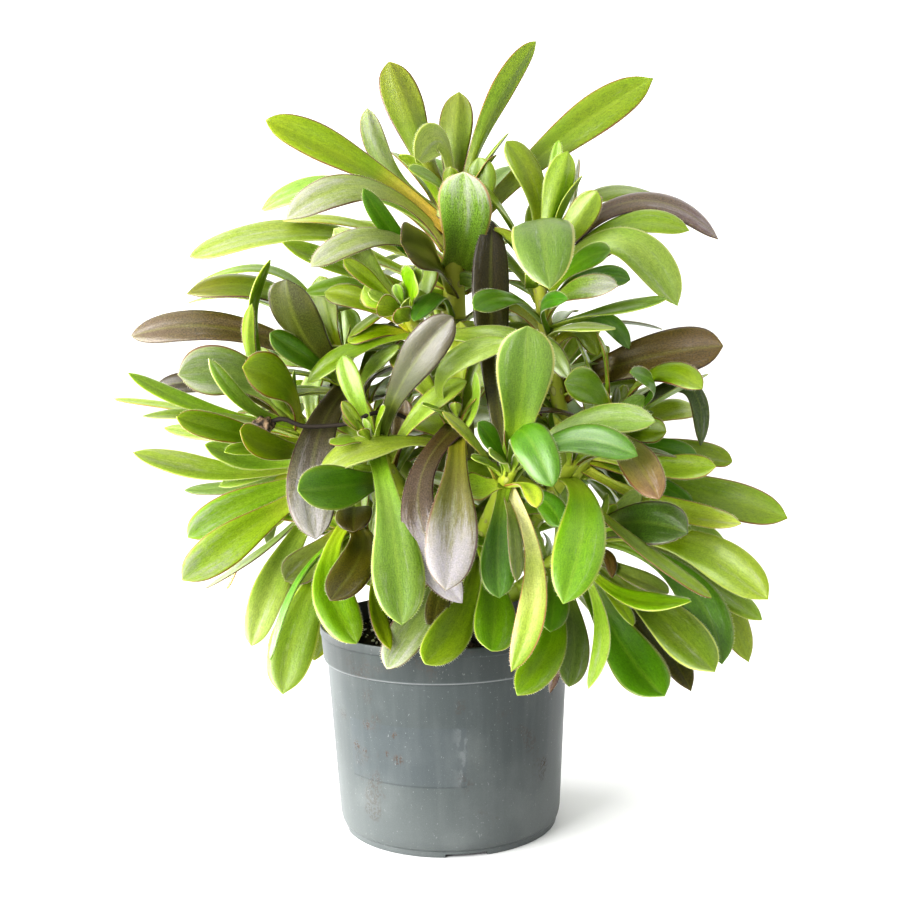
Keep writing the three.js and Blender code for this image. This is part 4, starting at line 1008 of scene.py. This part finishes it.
def rising_leaf(head, index, random):
    """One of the leaves that the view doesn't show one by one, placed by rule round its shoot."""
    count, start, end, length = head["rise"]
    age = (index + 0.5) / count
    around = math.radians(start + (index * GOLDEN_SHARE) % 1 * (end - start))
    climb = math.radians(STEEPEST - FALL * age + SCATTER * (random() - 0.5))
    grown = YOUNG_LENGTH + (1 - YOUNG_LENGTH) * math.sqrt(age)
    reach = length * grown * (0.9 + 0.2 * random())
    out = Vector((math.cos(around), math.sin(around), 0))
    out = (out - head["axis"] * out.dot(head["axis"])).normalized()
    along = climbing(head, out, climb)
    root = head["foot"].lerp(head["top"], 1 - STEM_USED * age)
    width = YOUNG_WIDTH + (OLD_WIDTH - YOUNG_WIDTH) * math.sqrt(age)
    leaf = standing_leaf(head, root, out, along, reach, age, width, RISING_FINISHES)
    return {**leaf, "root": root + along * head["stem"] * ROOT_DEPTH}


def leaf_shape(leaf):
    """A leaf with its own irregularities. A leaf that bends sharply is domed, and others are channelled."""
    broad, narrow = (0.35, 0.6) if leaf["tint"] in OLD_FINISHES else (0.66, 1.0)
    # The midrib is a parabola from root to tip that passes through mid at its share of the way.
    first, second = (leaf["mid"] - leaf["root"]).length, (leaf["tip"] - leaf["mid"]).length
    at = first / (first + second)
    bow = (leaf["mid"] - leaf["root"] * (1 - at) ** 2 - leaf["tip"] * at**2) / (2 * at * (1 - at))
    bend = (bow - leaf["root"]).angle(leaf["tip"] - bow)
    draws = {
        "bow": bow,
        "length": first + second,
        "full": rng.uniform(broad, narrow),
        "point": rng.uniform(0.75, 1.25),
        "fold": rng.uniform(0.12, 0.34) * max(1 - bend / FLAT_BEND, -0.4),
        "hook": rng.uniform(-0.015, 0.04),
        "ridge": rng.uniform(0.01, 0.045),
        "twist": math.radians(rng.normal(0, TWIST)),
        "lean": rng.normal(0, LEAN),
        "wave": (rng.uniform(6, 12), rng.uniform(0, 6), rng.uniform(0.035, 0.11)),
    }
    return {**leaf, **draws}


def leaf_places(leaf, x, t, z):
    """Where the blank's points (x across, t along, z through) come to lie on a leaf, in millimetres."""
    root, bow, tip, face = (np.array(leaf[name]) for name in ("root", "bow", "tip", "face"))
    share = t[:, None]
    point = (1 - share) ** 2 * root + 2 * share * (1 - share) * bow + share * share * tip
    along = unit(2 * (1 - share) * (bow - root) + 2 * share * (tip - bow))
    widest = unit(2 * (1 - WIDEST) * (bow - root)[None] + 2 * WIDEST * (tip - bow)[None])[0]
    up = face - widest * (widest @ face)
    up /= np.linalg.norm(up)
    # The midrib bends in one plane, so its normal keeps its share of up all along the leaf.
    bend = np.cross(bow - root, tip - bow) + 1e-6 * up
    bend /= np.linalg.norm(bend)
    ups = unit(bend * (up @ bend) + np.cross(bend, along) * (up @ np.cross(bend, widest)))
    side = np.cross(along, ups)
    twist = (leaf["twist"] * (t - 0.5))[:, None]
    ups, side = ups * np.cos(twist) + side * np.sin(twist), side * np.cos(twist) - ups * np.sin(twist)
    spread = np.clip(x, -1, 1)
    half = leaf["width"] / 2 * outline(t) ** np.where(t < WIDEST, leaf["full"], leaf["point"])
    pace, start, size = leaf["wave"]
    waves = size * half * np.sin(t * pace + start + x * 0.8) * np.abs(spread) ** 2
    cheeks = 0.1 * half * np.sin(np.pi * np.abs(spread)) * np.clip(t * 2 - 0.6, 0, 1)
    ridges = leaf["ridge"] * half * np.cos(3 * np.pi * spread) * np.clip(1.1 - t, 0, 1)
    channel = leaf["fold"] * half * (np.abs(spread) ** 1.6 - 1) * np.interp(t, CHANNEL_AT, CHANNEL)
    # t * t * (1 - t) is 4 / 27 at its most.
    hook = leaf["hook"] * leaf["length"] * t * t * (1 - t) * (27 / 4)
    upper = channel + waves + cheeks + ridges + hook + leaf["lean"] * half * spread
    middle = BLADE_THICKNESS * np.interp(t, THICKNESS_AT, THICKNESS)
    edge = np.minimum(EDGE_THICKNESS + 0.7 * np.clip(1 - t / 0.35, 0, 1), middle)
    height = upper + z * (edge + (middle - edge) * (1 - spread**2) ** 1.3)
    beyond = np.sign(x) * np.clip(np.abs(x) - 1, 0, None) * HAIR_LENGTH
    places = point + side * (spread * half + beyond)[:, None] + ups * height[:, None]
    return places + along * (np.abs(beyond) * 0.5)[:, None]


def leaf_mesh(leaf):
    """The blank bent to one leaf, with its colours."""
    x, t, z = BLANK_PLACES.T
    mesh = BLANK.copy()
    mesh.vertices.foreach_set("co", (leaf_places(leaf, x, t, z) * MM).ravel())
    uv = BLANK_UV.copy()
    uv[:, 0] = (uv[:, 0] - 0.5) * leaf["width"] / UV_UNIT[0]
    uv[:, 1] = uv[:, 1] * leaf["length"] / UV_UNIT[1] + 3 * rng.integers(60)
    mesh.uv_layers["UVMap"].data.foreach_set("uv", uv.ravel())
    *parts, bloom_and_sheen = FINISHES[leaf["tint"]]
    stalk, blade, end, margin = (np.array(colour(*part)) for part in parts)
    light = 1 + rng.normal(0, UNEVEN_LIGHT)
    warm = np.array([WARM_RED + rng.normal(0, UNEVEN_RED), 1, WARM_BLUE, 1])
    low = np.clip((t - 0.05) / 0.4, 0, 1)[:, None]
    high = np.clip((t - 0.55) / 0.4, 0, 1)[:, None]
    tone = stalk * (1 - low) + blade * low
    tone = (tone * (1 - high) + end * high) * light * warm
    under = (z < -0.5) & (np.abs(x) <= 1)
    tone[under] = tone[under] * 0.8 + np.array(UNDERSIDE) * 0.2
    hair = (np.abs(x) > 1 - 1.5 * HAIR_ROOT) & (np.abs(z + 0.5) < 0.45)
    strand = np.array(HAIR_PALE) * 0.75 + margin * 0.25
    tone[hair] = strand
    rim = np.tile(margin, (len(x), 1))
    rim[hair] = strand
    tone[:, 3] = 1
    paint(mesh, "tone", tone)
    paint(mesh, "margin", rim)
    # Whitish wax and painted sheen, growing toward the tip.
    paint(mesh, "bloom_and_sheen", bloom_and_sheen * np.clip((t - 0.28) / 0.62, 0, 1))
    paint(mesh, "aged", np.full(len(x), AGED if leaf["tint"] in OLD_FINISHES else 0))
    paint(mesh, "across", np.clip(x, -1, 1))
    return mesh


def leaf_sheet(leaf):
    """A coarse sheet of a leaf's free part, to test whether leaves cross."""
    rows, columns = np.linspace(0.3, 0.98, SHEET_ROWS), np.linspace(-0.95, 0.95, SHEET_COLUMNS)
    t, x = (grid.ravel() for grid in np.meshgrid(rows, columns, indexing="ij"))
    corners = [Vector(place) for place in leaf_places(leaf, x, t, -0.5 * np.ones(len(x)))]
    faces = [
        (start, start + 1, start + SHEET_COLUMNS + 1, start + SHEET_COLUMNS)
        for row in range(SHEET_ROWS - 1)
        for start in range(row * SHEET_COLUMNS, (row + 1) * SHEET_COLUMNS - 1)
    ]
    return bvhtree.BVHTree.FromPolygons(corners, faces)


def clear(leaf, sheets):
    """The leaf, narrowed and flattened until it crosses none of the sheets, and whether it then does."""
    for share in NARROWING:
        calm = {name: leaf[name] * (2.5 * share - 1.5) for name in ("hook", "twist", "fold")}
        trial = {**leaf, **calm, "width": leaf["width"] * share}
        sheet = leaf_sheet(trial)
        if not any(sheet.overlap(other) for other in sheets):
            sheets.append(sheet)
            return trial, True
    return trial, False


def young_leaf(head, age, around, length, width, steep):
    """A young leaf on a head's own shoot: age 0 at its top to 1 at its foot."""
    first = head["axis"].orthogonal().normalized()
    out = first * math.cos(around) + head["axis"].cross(first) * math.sin(around)
    along = climbing(head, out, math.radians(steep))
    root = head["top"].lerp(head["foot"], age * STEM_USED) + along * head["stem"] * ROOT_DEPTH
    return leaf_shape(standing_leaf(head, root, out, along, length, age, width, YOUNG_FINISHES))


def young_leaves(head, sheets):
    """A head's youngest leaves: a tight bud at the top of its shoot, and more that find room below it."""
    grown = []
    for i in range(BUD_LEAVES):
        share = i / BUD_LEAVES
        around = i * GOLDEN_SHARE * 2 * math.pi
        size = head["stem"] / 5
        leaf = young_leaf(head, 0, around, (16 + 22 * share) * size, (6 + 5 * share) * size, 78 - 38 * share)
        grown.append(leaf)
    count = INNER_LEAVES + head["rise"][0]
    for i in range(count):
        age = (i + 0.5) / count
        for _ in range(INNER_TRIES):
            around = rng.uniform(0, 2 * math.pi)
            length = (48 + 40 * math.sqrt(age)) * rng.uniform(0.8, 1.15)
            leaf = young_leaf(head, age, around, length, length * rng.uniform(0.2, 0.28), 58 - 70 * age)
            if (leaf["tip"] - leaf["root"]).normalized().y < TOWARD_VIEWER:
                continue
            leaf, free = clear(leaf, sheets)
            if free:
                grown.append(leaf)
                break
    return grown


def leaf_skin():
    material, tree, shader = finish("leaf_skin")
    names = ("tone", "margin", "bloom_and_sheen", "across", "aged")
    given = {name: add(tree, "Attribute", attribute_name=name).outputs for name in names}
    tone, margin = given["tone"]["Color"], given["margin"]["Color"]
    bloom_and_sheen, aged = given["bloom_and_sheen"]["Fac"], given["aged"]["Fac"]
    off = number("ABSOLUTE", given["across"]["Fac"])
    chart = add(tree, "UVMap").outputs["UV"]

    def streaks(size, detail, roughness):
        place = add(tree, "VectorMath", {0: chart, 1: size}, operation="MULTIPLY").outputs["Vector"]
        inputs = {"Vector": place, "Scale": 1.0, "Detail": detail, "Roughness": roughness}
        return add(tree, "TexNoise", inputs).outputs["Fac"]

    # Broad clouds of lighter and darker green, then fine dark flecks along the leaf and a painted highlight
    # along the midrib.
    cloud = streaks((1.6, 2.2, 1), 2, 0.5)
    base = mixed(between(cloud, 0.35, 0.65, 0.0, 0.3), tone, LEAF_SUNLIT, "SOFT_LIGHT")
    flecks = streaks((34, 22, 1), 3, 0.75)
    base = mixed(between(flecks, 0.56, 0.3, 0.0, 0.4), base, LEAF_FLECK, "MULTIPLY")
    mottle = times(between(streaks((42, 70, 1), 2, 0.7), 0.4, 0.62), aged)
    base = mixed(mottle, base, LEAF_AGED, "MULTIPLY")
    base = mixed(between(off, 0.16, 0.0, 0.0, 0.07), base, LEAF_MIDRIB_HIGHLIGHT)
    # Whitish wax bloom and a painted sheen cover the leaf in streaks, the more so toward the tip.
    fine = streaks((24, 11, 1), 4, 0.75)
    veil = times(plus(fine, streaks((6, 1.4, 1), 1, 0.5)), 0.5)
    cover = number("SUBTRACT", plus(veil, times(bloom_and_sheen, 0.42)), 0.7)
    cover = between(cover, -0.09, 0.13, 0.0, plus(times(bloom_and_sheen, 0.6), 0.25))
    base, grain = grainy(tree, mixed(cover, base, BLOOM_AND_SHEEN_WHITE), 1300, 1.0)
    rim = times(between(off, 0.9, 0.97), between(cloud, 0.3, 0.6, 0.5, 0.95))
    feed(tree, shader, {
        "Base Color": mixed(rim, base, margin),
        "Roughness": plus(times(cover, 0.2), 0.31),
        "Normal": bumped(plus(times(grain, 0.6), flecks), 0.5, 0.0004),
        "Coat Weight": 0.2,
        "Coat Roughness": 0.24,
        "Subsurface Weight": 0.4,
        "Subsurface Radius": (1, 1, 0.25),
        "Subsurface Scale": 0.003,
    })
    return material


LEAF_SKIN = leaf_skin()


def make_heads():
    """Every head: its leaves as the frame shows them, cleared of one another from the front backwards,
    then its young leaves and its shoot."""
    seed = [FIRST_SEED]

    def random():
        seed[0] = seed[0] * SEED_FACTOR % SEED_RANGE
        return seed[0] / SEED_RANGE

    waiting = []
    for name, head in HEADS.items():
        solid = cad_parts[name].data.vertices
        corners = kdtree.KDTree(len(solid))
        for vert in solid:
            corners.insert(vert.co / MM, vert.index)
        corners.balance()
        leaves = [seen_leaf(head, row, index) for index, row in enumerate(head["leaves"])]
        leaves += [rising_leaf(head, index, random) for index in range(head["rise"][0])]
        leaves = [as_grown(leaf, corners) for leaf in leaves]
        waiting += [(leaf_shape(leaf), head) for leaf in leaves if leaf]
        head["grown"] = []
    sheets = []
    for leaf, head in sorted(waiting, key=lambda pair: pair[0]["mid"].y + pair[0]["tip"].y):
        leaf, free = clear(leaf, sheets)
        head["grown"].append(leaf)
        if not free:
            sheets.append(leaf_sheet(leaf))
    for name, head in HEADS.items():
        kept = head["grown"] + young_leaves(head, sheets)
        low, high = head["foot"] - head["axis"], head["top"] + head["axis"] * head["stem"] * ROOT_DEPTH
        line = [low.lerp(high, step / SHOOT_STEPS) for step in range(SHOOT_STEPS + 1)]
        stem = tube(line, head["stem"], "shoot")
        stem.polygons.foreach_set("material_index", [1] * len(stem.polygons))
        form = joined([leaf_mesh(leaf) for leaf in kept] + [stem])
        piece(name + "_leaves", form, [LEAF_SKIN, STEM_SKIN], "leaf", name)


make_heads()


# ---- Dry root: a dead aerial root, thin, black and wavy, with a clod of peat still on its end ----
# It hangs free on the left, in front of the shoot it grew from. The clod is rough, with paler crumbs.
DRY_ROOT = [
    (-119, 271, -46), (-106, 275, -46), (-92, 270, -46), (-72, 270, -46), (-58, 272, -46),
    (-48, 277, -46), (-37, 278, -40), (-28, 276, -34), (-18, 270, -30),
]
DRY_ROOT_RADIUS = 1.5
DRY_ROOT_SIDES = 12
CLOD_RADIUS = 8
CLOD_FLATNESS = 0.75
ROOT_BLACK = colour(48, 40, 32)
CLOD_CRUMB = colour(128, 108, 84)


def dead_root():
    material, tree, shader = finish("dead_root")
    skin, grain = grainy(tree, ROOT_BLACK, 1100, 0.9)
    clod = between(add(tree, "Attribute", attribute_name="clod").outputs["Fac"], 0.4, 0.6)
    base = mixed(times(patchy(tree, 420, 0.42, 0.62), clod), skin, CLOD_CRUMB)
    feed(tree, shader, {"Base Color": base, "Roughness": 0.75, "Normal": bumped(grain, 0.8, 0.0006)})
    return material


def make_dry_root():
    line = smooth_line([seen(x, z, depth * DEPTH_SCALE) for x, z, depth in DRY_ROOT], 8)
    form = joined([tube(line, DRY_ROOT_RADIUS, "root", DRY_ROOT_SIDES)])
    layer = form.verts.layers.float.new("clod")
    clod = bmesh.ops.create_icosphere(form, subdivisions=4, radius=CLOD_RADIUS * MM)
    for vert in clod["verts"]:
        vert[layer] = 1
        lump = 1 + 0.25 * noise.noise(vert.co * 260) + 0.16 * noise.noise(vert.co * 700)
        vert.co *= lump * 0.92
        vert.co.z *= CLOD_FLATNESS
        vert.co += line[0] * MM
    piece("dry_root", form, [dead_root()], "soil")


make_dry_root()
